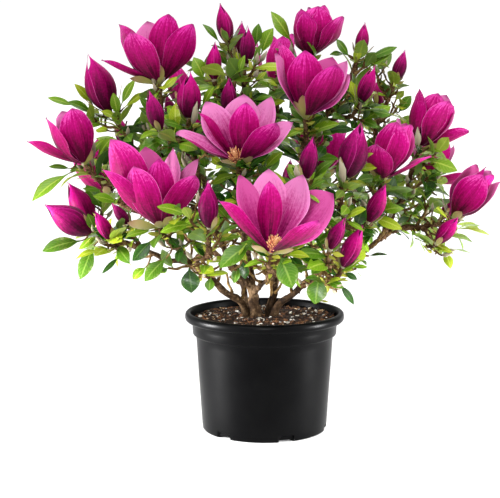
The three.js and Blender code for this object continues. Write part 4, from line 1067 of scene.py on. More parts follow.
stamens, carpels = Bundle(), Bundle()
for spray in sprays:
    for bloom in spray["blooms"]:
        if bloom["opens"] != "wide":
            continue
        seat, axis, size = bloom["seat"], bloom["axis"], bloom["length"] / SIZED_FOR
        if bloom["heart"]:
            axis = unit(np.array(bloom["heart"], float) - seat)
        for number in range(STAMENS):
            tier = number / STAMENS
            way = branch_way(axis, number * GOLDEN, 40 - 18 * tier + 16 * draw(bloom["key"], 63, number))
            foot = seat + axis * (5 + 9 * tier) * size + branch_way(axis, number * GOLDEN, 90) * 2.9 * size
            tip = foot + way * (10 + 5 * draw(bloom["key"], 62, number)) * size
            line = centre_line(foot, way, tip, unit(way + 0.5 * axis), 8000 + number)
            stamens.add_tube(line, STAMEN[0], STAMEN[1] * size, 5)
        core = centre_line(seat, axis, seat + axis * 27 * size, axis, 8100)
        carpels.add_tube(core, CORE[0], CORE[1] * size, 9)
        for number in range(STIGMAS):
            out = branch_way(axis, number * GOLDEN, 60)
            foot = core["at"](0.42 + 0.55 * number / STIGMAS) + out * 1.9 * size
            line = centre_line(foot, out, foot + (out * 2.6 + axis * 2.6) * size, axis, 8200 + number)
            carpels.add_tube(line, STIGMA[0], STIGMA[1] * size, 5)
stamen_finish = graded_finish("orange pink stamen", [
    (0.0, (0.16, 0.008, 0.03)), (0.4, (0.42, 0.06, 0.06)),
    (0.75, (0.78, 0.33, 0.13)), (1.0, (0.9, 0.56, 0.26))], 0.55)
carpel_finish = graded_finish("ochre carpel", [
    (0.0, (0.35, 0.1, 0.06)), (0.6, (0.7, 0.36, 0.14)), (1.0, (0.85, 0.55, 0.3))], 0.6)
place_piece(stamens.mesh("stamens"), stamen_finish, sprays_with(["wide"]), sharp=70)
place_piece(carpels.mesh("carpels"), carpel_finish, sprays_with(["wide"]), sharp=70)

# ---- the buds ----
# Closed flowers: three outer tepals wound tightly over an inner cone, darkest at the foot, each
# with one edge lapped over the next. They stand on the ends of their twigs. A draw gives each a lit
# or a dark copy of the bud finish, as painted light and painted shade.

BUD_ROWS = 18
BUD_HALF = 10
CONE_SPREAD = 178
WOUND_SPREAD = 78
WOUND_ON = 38
LOOSE = {"bud": 0.7, "plump": 1.3}
# share of buds that take the lit copy of the finish, as painted light; the rest take the dark copy, as
# painted shade
LIT_SHARE = {"bud": 0.45, "plump": 0.7}


def bud_swell(share):
    """A bud's radius along it as a share of its greatest: a sine of a bent share, to a power that
    grows towards the tip, so that the tip is sharp."""
    return np.sin(np.pi * (0.04 + 0.96 * share) ** 0.84) ** (0.85 + 0.5 * share)


def wound_blade(bloom, bearing, spread, lap, twist, loose, bow):
    """A tepal wound on a bud, as rings for a Bundle: at each share of the length it covers an arc of
    spread degrees a side, which closes to its tip at the bud's own. One edge lies lap millimetres
    higher than the other, it winds on by twist degrees, its tip stands off by loose, and the whole
    bud bows aside by bow."""
    axis = bloom["axis"]
    across, over = square_to(axis)
    most = bloom["length"] * BUD_WIDE[bloom["opens"]]
    share = np.linspace(0, 1, BUD_ROWS) ** 0.9
    left = 1 - 0.7 * share[:, None]
    cover = np.radians(spread) * np.maximum(1 - np.clip((share - 0.3) / 0.7, 0, 1) ** 2.6, 0.02)
    ring, face = two_faced(BUD_HALF)
    turn = np.radians(bearing + twist * share)[:, None] + cover[:, None] * ring
    radius = most * bud_swell(share)[:, None] + lap * (ring * 0.5 + 0.6) * left
    radius = radius + loose * smooth_step(0.55, 1, share)[:, None]
    radius = radius - face * 0.9 * np.sqrt(1 - 0.94 * ring ** 2) * (1 - 0.6 * share[:, None])
    height = bloom["length"] * (1 - 0.02 * (loose > 0.5)) * share[:, None, None]
    round_way = np.cos(turn)[..., None] * across + np.sin(turn)[..., None] * over
    bowed = (bow * share ** 2)[:, None, None] * branch_way(axis, 360 * draw(bloom["key"], 76), 90)
    return bloom["seat"] + axis * height + round_way * np.maximum(radius, 0.15)[..., None] + bowed


buds = {"dark": Bundle(), "lit": Bundle()}
bud_names = {"dark": "dark bud tepal", "lit": "bright bud tepal"}
for spray in sprays:
    for bloom in spray["blooms"]:
        key, opens = bloom["key"], bloom["opens"]
        if opens not in BUD_WIDE:
            continue
        turn = 360 * draw(key, 71)
        bow = 2.0 + 4 * draw(key, 77)
        # painted light and shade: a draw picks the lit or the dark copy of the bud finish
        bundle = buds["lit" if draw(key, 268) < LIT_SHARE[opens] else "dark"]
        bundle.add(wound_blade(bloom, turn, CONE_SPREAD, -1.2, 0, 0, bow))
        for number in range(3):
            bearing = turn + 120 * number + 25 * draw(key, 75, number)
            loose = LOOSE[opens] * draw(key, 74, number)
            blade = wound_blade(bloom, bearing, WOUND_SPREAD, 0.9 + 0.25 * number, WOUND_ON, loose, bow)
            bundle.add(blade)
            blossom_spots.append(blade[::3, ::3].reshape(-1, 3))
for tone, bundle in buds.items():
    finish = tepal_finish(bud_names[tone])
    place_piece(bundle.mesh(tone + "_buds"), finish, sprays_with(BUD_WIDE), sharp=55)

# ---- the twigs and shoots ----
# Thin young wood that carries the flowers and leaves: a brown twig to each flower, short shoots by
# turns along it, and finer twigs on those, green-brown. Each swells at even steps, as at joints.

SHOOTS = {"first": 30, "spacing": 34, "least": 24, "most": 46, "out": 55, "lift": 8}
FINE = {"first": 10, "spacing": 14, "least": 11, "most": 26, "out": 58, "lift": 3, "thick": 1.5}
LIMB_TWIGS = {"first": 14, "spacing": 14, "least": 14, "most": 38, "out": 60, "lift": 8, "thick": 2.1}
STUBS = {"every": 11, "last": 0.93, "out": 58, "at": (0, 0.45, 0.8, 1.0), "thick": (1.9, 1.5, 1.35, 0.7)}
LIMB_TWIGS_FROM = 212
POT_CLEAR = 178
JOINT_EVERY = 15


def shoots_of(twig, rule, thick):
    """Side shoots of a twig: they leave it by turns of the golden angle, at even depths below its
    tip, and rise by lift millimetres over their own length."""
    found = []
    number, depth = 0, rule["first"]
    while depth < twig["span"] - 10:
        key = twig["key"] * 50 + number
        share = 1 - depth / twig["span"]
        foot = twig["at"](share)
        way = branch_way(way_along(twig, share), number * GOLDEN + 360 * draw(key, 5), rule["out"])
        reach = rule["least"] + (rule["most"] - rule["least"]) * draw(key, 6)
        tip = foot + way * reach + UP * rule["lift"]
        shoot = centre_line(foot, way, tip, unit(unit(tip - foot) + 0.4 * UP), key)
        found.append(shoot | {"thick": (thick, thick * 0.7)})
        number, depth = number + 1, depth + rule["spacing"]
    return found


def within(spots, margin=3.0):
    """Whether all spots lie in the plant's own box and above the pot."""
    spots = np.asarray(spots)
    low = np.array(cad_low) / MM + margin
    high = np.array(cad_high) / MM - margin
    low[2] = POT_CLEAR
    return bool(np.all((spots > low) & (spots < high)))


petal_points = np.concatenate(blossom_spots)
petal_tree = KDTree(len(petal_points))
for number, spot in enumerate(petal_points):
    petal_tree.insert(spot, number)
petal_tree.balance()
limb_steps = np.linspace(0, 1, 40)
limb_spots = np.concatenate([line["at"](limb_steps) for line in limbs.values()])
limb_thick = np.concatenate([line["radius"](limb_steps) for line in limbs.values()])


def clear_of(spots, petals, wood):
    """Whether all spots are at least so many millimetres from any tepal and from any limb."""
    if any(petal_tree.find(spot)[2] < petals for spot in spots):
        return False
    gaps = np.linalg.norm(spots[:, None] - limb_spots[None], axis=-1) - limb_thick
    return bool(gaps.min() > wood)


def room_for(twig, checked, wood):
    """Whether a twig has room: its tip in the box, and the checked shares clear of all else."""
    return within([twig["at"](1.0)]) and clear_of(twig["at"](np.array(checked)), 4.0, wood)


def twig_rings(twig, swell, sides=8, every=3.5):
    """A twig's rings: its radius narrows evenly, with a small swelling every so many millimetres."""
    share = np.linspace(0, 1, max(int(twig["span"] / every), 5))
    thick = twig["thick"][0] + (twig["thick"][1] - twig["thick"][0]) * share
    off_joint = (share * twig["span"]) % JOINT_EVERY - JOINT_EVERY / 2
    return rings_along(twig, share, thick * (1 + np.exp(-(off_joint / 1.6) ** 2) * swell), sides)[0]


twigs, shoots = Bundle(), Bundle()
limb_twigs = []
for line in limbs.values():
    for twig in shoots_of(line, LIMB_TWIGS, LIMB_TWIGS["thick"]):
        if twig["at"](1.0)[2] > LIMB_TWIGS_FROM and room_for(twig, [0.5, 1.0], 1.2):
            limb_twigs.append(twig)
            shoots.add(twig_rings(twig, 0.42, every=3))
for spray in sprays:
    spray["shoots"], spray["fine"] = [], []
    for twig in spray["twigs"]:
        twigs.add(twig_rings(twig, 0.34, sides=10, every=2.5))
        for number in range(int(twig["span"] / STUBS["every"])):
            share = (number + 0.2 + 0.6 * draw(twig["key"], 51, number)) * STUBS["every"] / twig["span"]
            if share < STUBS["last"]:
                way = branch_way(way_along(twig, share), 360 * draw(twig["key"], 52, number), STUBS["out"])
                tall = 3.2 + 3.4 * draw(twig["key"], 53, number)
                foot = twig["at"](share)
                stub = centre_line(foot, way, foot + way * tall, unit(way + 0.5 * UP), 7200 + number)
                twigs.add_tube(stub, STUBS["at"], STUBS["thick"], 7)
        for shoot in shoots_of(twig, SHOOTS, TWIG["shoot"]):
            if room_for(shoot, [0.5, 0.75, 1.0], 2.0):
                spray["shoots"].append(shoot)
    for parent in spray["shoots"] + spray["twigs"]:
        for fine in shoots_of(parent, FINE, FINE["thick"]):
            if room_for(fine, [0.6, 1.0], 2.0):
                spray["fine"].append(fine)
    for shoot in spray["shoots"]:
        shoots.add(twig_rings(shoot, 0.42, every=3))
    for fine in spray["fine"]:
        shoots.add(twig_rings(fine, 0.45, sides=6))

# ---- the leaves ----
# Elliptic leaves with a short stalk and a sharp tip, glossy and darker above, paler below, folded
# up a little from the midrib and waved at the edge. The youngest are narrow and yellow-green.

LEAF = "foot way across length width droop fold curl"
LEAST_LONG, MOST_LONG = 31, 54
LEAF_ROWS = 9
LEAF_HALF = 3
LEAF_OUT = {"bud": 48, "plump": 56, "cup": 70, "half": 78, "goblet": 84, "wide": 104}
# leaves are darker near the middle of the crown, as painted shade; its inside is filled with more
# of them, and below these heights there are none near the stems, or none at all
CROWN, REACH = np.array([0.0, 0.0, 260.0]), np.array([300.0, 300.0, 330.0])
INSIDE, INSIDE_REACH = np.array([0.0, 0.0, 350.0]), np.array([235.0, 190.0, 150.0])
BARE_HEIGHT, BARE_REACH, LOWEST = 285, 150, 234
PLACED_APART = 0.5  # leaves placed one by one may stand this close, and may hang low
STEEPEST = {"leaf": 0.93, "leaflet": 0.96}
LEAFY_SHARE = {"fine twig": 0.26, "limb twig": 0.42}
TWIG_LEAVES_END = 45
# leaflets in a tuft under a flower and at a twig's joints; lean and long are least, and what is added
TUFT = {"count": 6, "first": 4, "step": 3.2, "lean": (62, 34), "long": (11, 11)}
JOINT = {"every": 10, "within": 150, "lowest": 0.05, "lean": (48, 26), "long": (7, 10)}

# name, where the tone ends, upper face's foot and tip, under face, veins, roughness
GREENS = {
    "lime": ("young lime leaf", 0.17,
             (0.17, 0.26, 0.005), (0.3, 0.38, 0.012), (0.3, 0.4, 0.05), (0.5, 0.57, 0.1), 0.4),
    "fresh": ("fresh green leaf", 0.4,
              (0.075, 0.175, 0.003), (0.15, 0.28, 0.008), (0.2, 0.31, 0.05), (0.38, 0.47, 0.07), 0.34),
    "mid": ("mid green leaf", 0.64,
            (0.03, 0.092, 0.003), (0.066, 0.16, 0.005), (0.12, 0.2, 0.04), (0.2, 0.3, 0.05), 0.3),
    "deep": ("deep green leaf", 1.01,
             (0.006, 0.03, 0.0015), (0.015, 0.058, 0.003), (0.04, 0.085, 0.02), (0.065, 0.125, 0.025), 0.26),
}
OLIVE = ("olive leaflet", (0.2, 0.19, 0.02), (0.4, 0.42, 0.04), (0.3, 0.28, 0.06), (0.5, 0.48, 0.12), 0.5)


def leaf_rings(foot, way, across, length, width, droop, fold, curl):
    """Leaves, one for each entry of the arrays given, as rings for a Bundle. Half the width at a
    share t of the blade is t^1.1 (1 - t)^0.98 scaled to 1; the first eleventh is the stalk. The
    halves rise from the midrib by fold, curve back by curl, and the whole droops to its tip."""
    share = np.linspace(0, 1, LEAF_ROWS) ** 0.95
    blade = np.clip((share - 0.09) / 0.91, 0, 1)
    outline = blade ** 1.1 * (1 - blade) ** 0.98 / 0.2339
    stalk = 0.55 / np.maximum(width, 1)[:, None] * 2
    half_wide = width[:, None] / 2 * np.maximum(outline, stalk)
    face = np.cross(across, way)
    arch = length[:, None] * (0.28 * droop[:, None] * np.sin(np.pi * share) - droop[:, None] * share ** 2)
    far = (length[:, None] * share)[..., None]
    centre = foot[:, None] + way[:, None] * far + face[:, None] * arch[..., None]
    ring, under = two_faced(LEAF_HALF)
    steep = fold[:, None, None] * np.abs(ring) - curl[:, None, None] * ring ** 2
    ruffle = 0.07 * np.sin(9.5 * share + 40 * fold[:, None])[..., None] * ring ** 2 * np.sign(ring)
    raised = half_wide[..., None] * (steep + ruffle)
    body = (0.5 + 0.7 * (share < 0.12))[:, None] * (1.15 - np.abs(ring))
    raised = raised - under * body + 0.25 * np.exp(-(ring / 0.2) ** 2) * (1 - 2 * under)
    return (centre[:, :, None] + across[:, None, None] * (half_wide[..., None] * ring)[..., None]
            + face[:, None, None] * raised[..., None])


def leaf_spots_of(leaf):
    """Five spots on a leaf: on its midrib near the foot, the middle and the tip, and at its edges."""
    foot, way, across = leaf["foot"], leaf["way"], leaf["across"]
    face, length, width = np.cross(across, way), leaf["length"], leaf["width"]
    spots = ((0.3, 0, 0), (0.62, 0, -0.3 * leaf["droop"]), (1, 0, -leaf["droop"]),
             (0.55, 0.9, 0.04), (0.55, -0.9, 0.04))
    return np.array([foot + way * length * far + across * width / 2 * aside + face * length * raised
                     for far, aside, raised in spots])


def leaf_on(foot, way, faces, length, key, wide=None, droop=None):
    """One leaf's measures: its upper face turns up and towards a bearing. Its tone, which picks its
    green, is partly drawn at random and partly darker towards the middle of the crown, as painted shade.
    """
    pick = [draw(key, 91, channel) for channel in range(6)]
    return {"foot": foot, "way": way, "across": unit(np.cross(way, way_of(42, faces))), "length": length,
            "width": length * (wide or (0.38 + 0.14 * pick[0])),
            "droop": 0.02 + 0.2 * pick[1] if droop is None else droop,
            "fold": 0.2 + 0.5 * pick[2], "curl": 0.1 + 0.3 * pick[3], "key": key,
            "tone": 0.62 * pick[4] + 0.38 * (1 - min(np.linalg.norm((foot - CROWN) / REACH), 1.0))}


leaves = []
leaf_tree_spots = np.zeros((0, 3))


def settle(leaf, petals=4.5, wood=1.5, apart=6.5, margin=3.0):
    """Keeps a leaf if it stays in the box and clear of tepals, limbs and the leaves before it."""
    global leaf_tree_spots
    spots = leaf_spots_of(leaf)
    if not within(spots, margin) or not clear_of(spots, petals, wood):
        return False
    low = spots[:, 2].min() < BARE_HEIGHT and np.linalg.norm(spots[:, :2], axis=-1).min() < BARE_REACH
    if (low or spots[:, 2].min() < LOWEST) and apart > PLACED_APART:
        return False
    gaps = np.linalg.norm(spots[1:, None] - leaf_tree_spots[None], axis=-1)
    if gaps.size and gaps.min() < apart:
        return False
    leaf_tree_spots = np.concatenate([leaf_tree_spots, spots[1:]])
    leaves.append(leaf)
    return True


def outward_of(foot):
    """The bearing from the middle of the plant to a place."""
    return math.degrees(math.atan2(foot[1], foot[0]))


def deal_leaves(twig, depths, out, size, tries=5, apart=6.5, shade=0.0):
    """Leaves by turns of the golden angle up a twig, each at a depth below the tip. A place is
    tried at several turns, and stays bare if nothing fits. shade darkens their tone, as painted shade."""
    for number, depth in enumerate(depths):
        share = 1 - depth / twig["span"]
        foot = twig["at"](share)
        for attempt in range(tries):
            pick = [draw(twig["key"] * 40 + number, attempt, channel) for channel in range(6)]
            turn = number * GOLDEN + 360 * draw(twig["key"], 77) + 50 * (pick[1] - 0.5) + 75 * attempt
            lean = (out if number < 3 else 60) + 30 * (pick[2] - 0.5)
            way = unit(branch_way(way_along(twig, share), turn, lean) + UP * 0.15 * (1 - attempt))
            length = size * (LEAST_LONG + (MOST_LONG - LEAST_LONG) * pick[3])
            faces = outward_of(foot) + 150 * (pick[5] - 0.5)
            leaf = leaf_on(foot, way, faces, length, twig["key"] * 40 + number)
            leaf["tone"] = min(max(leaf["tone"] + shade - 0.18 * (depth < 16), 0.02), 1.0)
            if abs(way[2]) < STEEPEST["leaf"] and settle(leaf, apart=apart):
                break


def depths_of(span, whorl, spacing):
    """Where leaves sit on a twig: a whorl near its tip, then one every so often down to its foot."""
    depths = list(whorl)
    while depths[-1] + spacing < span:
        depths.append(depths[-1] + spacing)
    return [depth for depth in depths if depth < span - 6]


# leaves and resting buds placed one by one: foot, tip, then width over length and green, or width
PLACED_LEAVES = [
    ((-249, 38, 468), (-272, 29, 497), 0.33, "lime"), ((-275, 38, 465), (-311, 29, 478), 0.3, "fresh"),
    ((-248, 36, 454), (-282, 27, 472), 0.36, "mid"), ((-231, 28, 438), (-265, 20, 443), 0.38, "fresh"),
    ((-205, 15, 467), (-185, 6, 503), 0.3, "fresh"), ((-201, 15, 463), (-171, 7, 486), 0.3, "lime"),
    ((-210, 17, 446), (-233, 11, 459), 0.4, "lime"), ((-210, 15, 451), (-215, 8, 484), 0.36, "fresh"),
    ((-238, -9, 394), (-215, -16, 424), 0.36, "fresh"), ((-273, -23, 379), (-303, -30, 383), 0.28, "mid"),
    ((-275, -22, 373), (-327, -37, 336), 0.27, "fresh"), ((-231, -25, 349), (-256, -30, 352), 0.3, "mid"),
    ((-206, -32, 331), (-240, -41, 343), 0.38, "fresh"),
    ((-250, -15, 382), (-275, -21, 376), 0.36, "mid"), ((-184, 13, 404), (-208, 7, 422), 0.42, "deep"),
    ((-191, 18, 434), (-169, 12, 450), 0.5, "mid"), ((-254, -61, 282), (-308, -74, 270), 0.37, "fresh"),
    ((-234, -90, 279), (-254, -101, 234), 0.36, "fresh"),
    ((-200, -84, 263), (-224, -91, 241), 0.22, "mid"),
    ((-235, -74, 296), (-243, -80, 321), 0.42, "fresh"), ((-190, -32, 302), (-218, -40, 279), 0.5, "mid"),
    ((-150, -161, 308), (-183, -169, 302), 0.28, "lime"),
    ((-149, -155, 295), (-176, -163, 269), 0.45, "deep"),
    ((-168, -28, 240), (-187, -34, 223), 0.5, "lime"),
    ((-133, -131, 267), (-162, -140, 238), 0.45, "fresh"),
    ((-112, -178, 312), (-88, -185, 335), 0.3, "lime"), ((-102, -141, 257), (-99, -148, 223), 0.6, "mid"),
    ((-74, -109, 238), (-77, -114, 220), 0.6, "fresh"),
    ((-18, -212, 298), (-60, -224, 269), 0.42, "fresh"), ((2, -246, 285), (-14, -250, 296), 0.5, "mid"),
    ((17, -237, 286), (32, -247, 246), 0.55, "fresh"), ((80, -190, 277), (33, -201, 286), 0.42, "mid"),
    ((31, -142, 272), (48, -148, 250), 0.5, "deep"), ((71, -161, 248), (64, -170, 212), 0.6, "fresh"),
    ((99, -137, 233), (118, -144, 207), 0.27, "mid"), ((86, -191, 283), (92, -196, 307), 0.38, "lime"),
    ((99, -161, 253), (121, -166, 268), 0.32, "lime"), ((104, -148, 251), (121, -152, 242), 0.45, "mid"),
    ((-37, -17, 241), (-44, -23, 216), 0.42, "fresh"), ((-30, -211, 276), (-27, -217, 253), 0.45, "mid"),
    ((121, 28, 535), (103, 21, 560), 0.42, "mid"), ((145, 25, 531), (187, 15, 550), 0.3, "mid"),
    ((148, 29, 519), (180, 20, 543), 0.42, "fresh"), ((193, 37, 455), (210, 30, 480), 0.5, "mid"),
    ((144, -56, 462), (172, -62, 456), 0.5, "mid"), ((165, 114, 461), (190, 109, 466), 0.28, "fresh"),
    ((227, 3, 392), (274, -8, 376), 0.45, "fresh"), ((221, 7, 355), (246, 0, 374), 0.5, "mid"),
    ((127, -20, 469), (120, -28, 501), 0.36, "lime"), ((128, 26, 526), (136, 21, 548), 0.45, "lime"),
    ((115, 28, 539), (93, 23, 539), 0.4, "mid"), ((155, -101, 372), (122, -108, 369), 0.42, "mid"),
    ((206, 3, 368), (180, -3, 360), 0.5, "mid"), ((-64, 18, 555), (-87, 10, 581), 0.26, "mid"),
    ((-13, 9, 550), (-9, 2, 581), 0.38, "mid"), ((-5, 9, 539), (11, 0, 575), 0.45, "fresh"),
    ((39, 26, 555), (10, 14, 599), 0.34, "fresh"), ((-85, -36, 503), (-98, -43, 534), 0.52, "fresh"),
    ((-54, 34, 522), (-65, 28, 545), 0.5, "mid"), ((8, -12, 490), (-18, -21, 522), 0.46, "fresh"),
    ((-31, -31, 522), (-40, -36, 541), 0.4, "lime"), ((-87, -64, 465), (-71, -71, 494), 0.3, "fresh"),
    ((-1, -16, 476), (-18, -20, 486), 0.5, "mid"), ((-67, -35, 478), (-68, -39, 495), 0.5, "mid"),
    ((-128, -84, 439), (-109, -89, 428), 0.42, "fresh"), ((-158, -26, 458), (-174, -32, 479), 0.4, "mid"),
]
PLACED_BUDS = [
    ((-242, -10, 395), (-245, -13, 427), 8.5), ((99, -196, 375), (94, -199, 407), 10),
    ((38, 36, 528), (36, 33, 549), 8), ((-98, -92, 445), (-92, -95, 475), 9),
    ((-146, -32, 497), (-137, -35, 514), 7), ((217, -6, 410), (216, -9, 437), 9),
]
TONES = {"lime": 0.08, "fresh": 0.28, "mid": 0.5, "deep": 0.8}
SHADED_BELOW = 325
twig_steps = np.linspace(0.1, 0.98, 30)
wood_spots = np.concatenate([twig["at"](twig_steps) for spray in sprays
                             for twig in spray["twigs"] + spray["shoots"] + spray["fine"]] + [limb_spots])


def bearer_to(foot, way, key):
    """A thin shoot from the nearest wood to a foot that stands away from it."""
    nearest = wood_spots[np.argmin(np.linalg.norm(wood_spots - foot, axis=-1))]
    if np.linalg.norm(nearest - foot) > 2:
        bearer = centre_line(nearest, unit(foot - nearest), foot + way, way, key)
        shoots.add(twig_rings(bearer | {"thick": (1.5, 0.9)}, 0.25, sides=7))


for number, (foot, tip, wide, tone) in enumerate(PLACED_LEAVES):
    foot, tip, key = np.array(foot, float), np.array(tip, float), 9000 + number
    for share in (1, 0.92, 0.84, 0.76, 0.68, 0.6):
        length = share * np.linalg.norm(tip - foot)
        leaf = leaf_on(foot, unit(tip - foot), -90, length, key, wide=1.2 * wide, droop=0.04)
        # placed leaves low in the crown are darker, as painted shade
        leaf["tone"] = TONES[tone] + (0.2 if foot[2] < SHADED_BELOW else 0.0)
        if settle(leaf, petals=0.3, wood=-9, apart=PLACED_APART, margin=0.5):
            bearer_to(foot, leaf["way"], key)
            break
for spray in sprays:
    for twig in spray["twigs"]:
        near_tip = [depth for depth in depths_of(twig["span"], (12, 20, 29), 26)
                    if depth < TWIG_LEAVES_END]
        deal_leaves(twig, near_tip, out=LEAF_OUT[twig["opens"]], size=1)
    for shoot in spray["shoots"]:
        deal_leaves(shoot, depths_of(shoot["span"], (1, 7, 15), 28), out=46, size=0.85)
    for fine in spray["fine"]:
        if draw(fine["key"], 93) < LEAFY_SHARE["fine twig"]:
            deal_leaves(fine, depths_of(fine["span"], (0.5, 6), 30), out=40, size=0.62, tries=2)
for twig in limb_twigs:
    if draw(twig["key"], 94) < LEAFY_SHARE["limb twig"]:
        depths = depths_of(twig["span"], (1, 8), 16)
        deal_leaves(twig, depths, out=46, size=0.75, tries=3, apart=5, shade=0.25)
# the inside of the crown is filled with darker leaves, as painted shade
for spray in sprays:
    for twig in spray["twigs"] + spray["shoots"] + spray["fine"]:
        if np.linalg.norm((twig["at"](0.8) - INSIDE) / INSIDE_REACH) < 1:
            depths = depths_of(twig["span"], (3, 12), 15)
            deal_leaves(twig, depths, out=52, size=0.78, tries=2, apart=5.0, shade=0.4)

leaflets = []


def drawn_from(span, key, channel):
    """A least value and a drawn share of what may be added to it."""
    return span[0] + span[1] * draw(key, channel)


def leaflet_at(foot, along, bearing, lean, length, key):
    """A narrow young leaflet at a joint, if its tip is clear of the tepals."""
    way = branch_way(along, bearing, lean)
    if abs(way[2]) > STEEPEST["leaflet"]:
        return
    wide = 0.3 + 0.16 * draw(key, 31)
    leaflet = leaf_on(foot, way, outward_of(foot), length, key, wide=wide, droop=-0.1)
    if clear_of(leaf_spots_of(leaflet)[1:3], 2.0, 0.5) and within([foot + way * length]):
        leaflets.append(leaflet)


# tufts of narrow young leaflets, yellow-olive, under each flower and bud and at the twigs' joints
for spray in sprays:
    for bloom in spray["blooms"]:
        for number in range(TUFT["count"]):
            key = bloom["key"] * 60 + number
            foot = bloom["seat"] - bloom["axis"] * (TUFT["first"] + TUFT["step"] * number)
            leaflet_at(foot, bloom["axis"], GOLDEN * number + 360 * draw(key, 1),
                       drawn_from(TUFT["lean"], key, 2), drawn_from(TUFT["long"], key, 3), key)
    for twig in spray["twigs"] + spray["shoots"]:
        for number in range(int(min(twig["span"], JOINT["within"]) / JOINT["every"])):
            key = twig["key"] * 70 + number
            share = 1 - (number + 0.3 + 0.5 * draw(key, 4)) * JOINT["every"] / twig["span"]
            if share > JOINT["lowest"]:
                bearing = GOLDEN * number + 360 * draw(twig["key"], 5)
                leaflet_at(twig["at"](share), way_along(twig, share), bearing,
                           drawn_from(JOINT["lean"], key, 6), drawn_from(JOINT["long"], key, 7), key)


def leaf_finish(name, upper, upper_tip, under, vein, gloss):
    """Leaf: on its own map the upper face runs from one green to another, with a pale midrib and
    slanting side veins; the under face is paler. A fine relief breaks up its gloss."""
    finish = Finish(name, upper, gloss, Specular_IOR_Level=0.2, Coat_Weight=0.16, Coat_Roughness=0.2,
                    Subsurface_Weight=0.1, Subsurface_Scale=0.002, Subsurface_Radius=(0.5, 1.0, 0.2))
    _, aside, below, along = blade_parts(finish)
    where = finish.where()
    blotch = finish.sum("MULTIPLY", finish.noise(where, 55), 0.5)
    share = finish.sum("ADD", finish.sum("MULTIPLY", along, 0.6), blotch)
    above = finish.ramp(share, [(0.2, upper), (0.8, upper_tip)])
    slant = finish.sum("SUBTRACT", finish.sum("MULTIPLY", along, 62.0), finish.sum("MULTIPLY", aside, 16.0))
    wave = finish.sum("POWER", finish.sum("MULTIPLY_ADD", finish.sum("SINE", slant), 0.5, 0.5), 9.0)
    midrib = finish.sum("MULTIPLY", finish.band(aside, 0.1, 0.02), 0.75)
    lines = finish.sum("MAXIMUM", finish.sum("MULTIPLY", wave, 0.28), midrib)
    finish.feed("Base Color", finish.blend(lines, finish.blend(below, above, under), vein))
    finish.relief(finish.sum("SUBTRACT", finish.noise(where, 700, 2), lines), 0.3, 0.0006)
    return finish


def place_leaves(name, entries, finish):
    """One piece of many leaves in one finish."""
    bundle = Bundle()
    bundle.add(leaf_rings(**arrays_of(entries, LEAF)))
    place_piece(bundle.mesh(name), finish, spray_names, sharp=70)


least = 0.0
for tone, (name, most, *look) in GREENS.items():
    chosen = [leaf for leaf in leaves if least <= leaf["tone"] < most]
    place_leaves(tone + "_leaves", chosen, leaf_finish(name, *look))
    least = most
place_leaves("young_leaflets", leaflets, leaf_finish(*OLIVE))
place_piece(twigs.mesh("twigs"), bark_finish(*BARKS["twig"]), spray_names, sharp=60)
place_piece(shoots.mesh("shoots"), bark_finish(*BARKS["shoot"]), spray_names, sharp=60)

# ---- the bud scales and resting buds ----
# Under each flower and bud stand two or three pointed, downy scales that once closed over it, with
# a thickened stalk; and many of the shoots end in closed, furry, grey-brown buds.

# scales placed one by one, by their spray, as the tepals are: tip, facing, bend, width, half angle
SCALES = {
    "spray_top_left": [((-146, -52, 525), 262, 30, 17, 40), ((-187, -42, 505), 222, -14, 13, 44)],
    "spray_front_left": [
        ((-180, -176, 320), 232, 26, 20, 44), ((-123, -172, 328), 308, 20, 14, 44),
        ((-142, -180, 322), 280, 24, 12, 44)],
    "spray_front": [((-59, -166, 401), 236, 24, 15, 44), ((-18, -164, 405), 298, 24, 15, 44)],
    "spray_low_front": [((33, -262, 297), 300, 16, 13, 44), ((-19, -260, 301), 238, 18, 14, 44)],
    "spray_upper_front": [
        ((48, -140, 484), 266, 26, 15, 42), ((37, -130, 476), 226, 26, 14, 42),
        ((61, -130, 473), 312, 26, 14, 42)],
    "spray_top_right": [((54, 12, 553), 230, 22, 13, 44), ((75, 12, 553), 300, 22, 12, 44)],
    "spray_left": [((-250, -36, 419), 285, 16, 15, 44), ((-242, -30, 406), 320, 20, 13, 44)],
    "spray_right": [((138, -130, 391), 230, 18, 14, 44), ((167, -130, 388), 300, 18, 13, 44)],
    "spray_far_right": [
        ((216, -2, 435), 240, 18, 14, 44), ((258, 2, 408), 312, 22, 13, 44),
        ((208, 6, 428), 222, 18, 13, 44)],
}
SCALE_ROWS = 10
SCALE_HALF = 4
NECK = ((0.0, 0.25, 0.6, 0.85, 1.0), (1.7, 2.5, 3.3, 3.9, 3.2))
SCALE_DOWN = 3.5
FURRY_SHARE = 0.42
FURRY_AT = (0, 0.12, 0.3, 0.5, 0.7, 0.87, 1.0)
FURRY_THICK = np.array([0.3, 0.72, 1.0, 0.95, 0.68, 0.36, 0.08])


def scale_by_rule(bloom, number, key):
    """One of the bud scales that stand round the foot of a flower or bud, at even turns that vary a
    little. Those under an open flower lie flatter and curl in more."""
    pick = [draw(key, 95, number, channel) for channel in range(5)]
    if bloom["tepals"]:
        turn, bends, long, splay = 120, 50, 22 + 12 * pick[1], 70 + 36 * pick[2]
        wide = 0.42 * long
    else:
        turn, bends, long, wide = 180, 46, bloom["length"] * (0.42 + 0.12 * pick[1]), 8.0
        splay = (62 if bloom["opens"] == "plump" else 54) + 12 * pick[2]
    bearing = 360 * draw(key, 96) + turn * number + 50 * (pick[0] - 0.5)
    return {"seat": bloom["seat"] - bloom["axis"] * SCALE_DOWN, "axis": bloom["axis"],
            "outward": branch_way(bloom["axis"], bearing, 90), "foot": 3.6, "rise": 0, "splay": splay,
            "close": splay - bends, "length": long, "width": wide, "curl": 50, "aside": pick[0] - 0.5,
            "flick": 14, "tuck": 0.2}


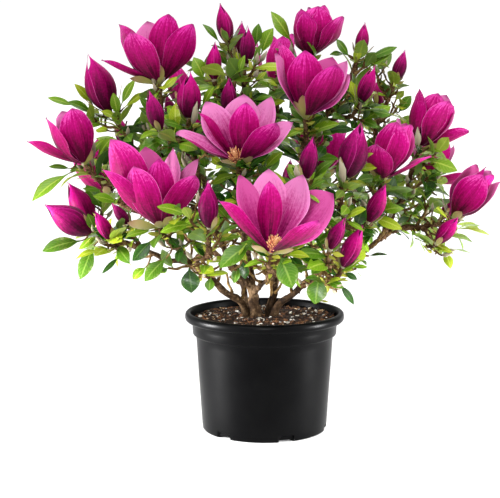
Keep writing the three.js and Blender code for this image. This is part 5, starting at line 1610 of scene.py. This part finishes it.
scales, furry = Bundle(), Bundle()
entries = []
for spray in sprays:
    for bloom in spray["blooms"]:
        seat, axis, key = bloom["seat"], bloom["axis"], bloom["key"]
        placed = SCALES.get(spray["name"], []) if bloom["tepals"] else []
        for number, measures in enumerate(placed):
            scale = tepal_reaching(seat - axis * SCALE_DOWN, axis, *measures)
            entries.append(scale | {"aside": draw(key, 95, number) - 0.5, "tuck": 0.2})
        by_rule = 0 if placed else 3 if bloom["tepals"] else 2
        entries += [scale_by_rule(bloom, number, key) for number in range(by_rule)]
        line = centre_line(seat - axis * 8, axis, seat + axis * 3, axis, 9600)
        furry.add_tube(line, *NECK, 10)
scales.add(blade_rings(**arrays_of(entries, BLADE), thick=0.9, rows=SCALE_ROWS, half=SCALE_HALF))
for spray in sprays:
    for shoot in spray["shoots"] + spray["fine"]:
        if draw(shoot["key"], 97) > FURRY_SHARE:
            continue
        foot = shoot["at"](0.97)
        way = unit(way_along(shoot, 0.97) + 0.5 * UP)
        tall = 11 + 8 * draw(shoot["key"], 98)
        line = centre_line(foot, way, foot + way * tall, unit(way + 0.4 * UP), shoot["key"])
        if clear_of(line["at"](np.array([0.5, 1.0])), 3.0, 2.0):
            furry.add_tube(line, FURRY_AT, FURRY_THICK * tall * 0.19, 8)
for number, (foot, tip, wide) in enumerate(PLACED_BUDS):
    foot, tip = np.array(foot, float), np.array(tip, float)
    way = unit(tip - foot)
    furry.add_tube(centre_line(foot, way, tip, way, 9550 + number), FURRY_AT, FURRY_THICK * wide / 2, 10)
scale_finish = graded_finish("downy bud scale", [
    (0.0, (0.16, 0.17, 0.02)), (0.35, (0.3, 0.27, 0.05)),
    (0.75, (0.34, 0.23, 0.08)), (1.0, (0.3, 0.13, 0.06))], 0.85)
fur_finish = graded_finish("furry bud", [
    (0.0, (0.13, 0.1, 0.05)), (0.5, (0.3, 0.26, 0.17)), (1.0, (0.42, 0.36, 0.25))], 0.95)
for finish in (scale_finish, fur_finish):
    finish.shader.inputs["Sheen Weight"].default_value = 0.35
    finish.relief(finish.noise(finish.where(), 1400), 0.7, 0.0006)
place_piece(scales.mesh("bud_scales"), scale_finish, spray_names, sharp=60)
place_piece(furry.mesh("furry_buds"), fur_finish, spray_names, sharp=60)
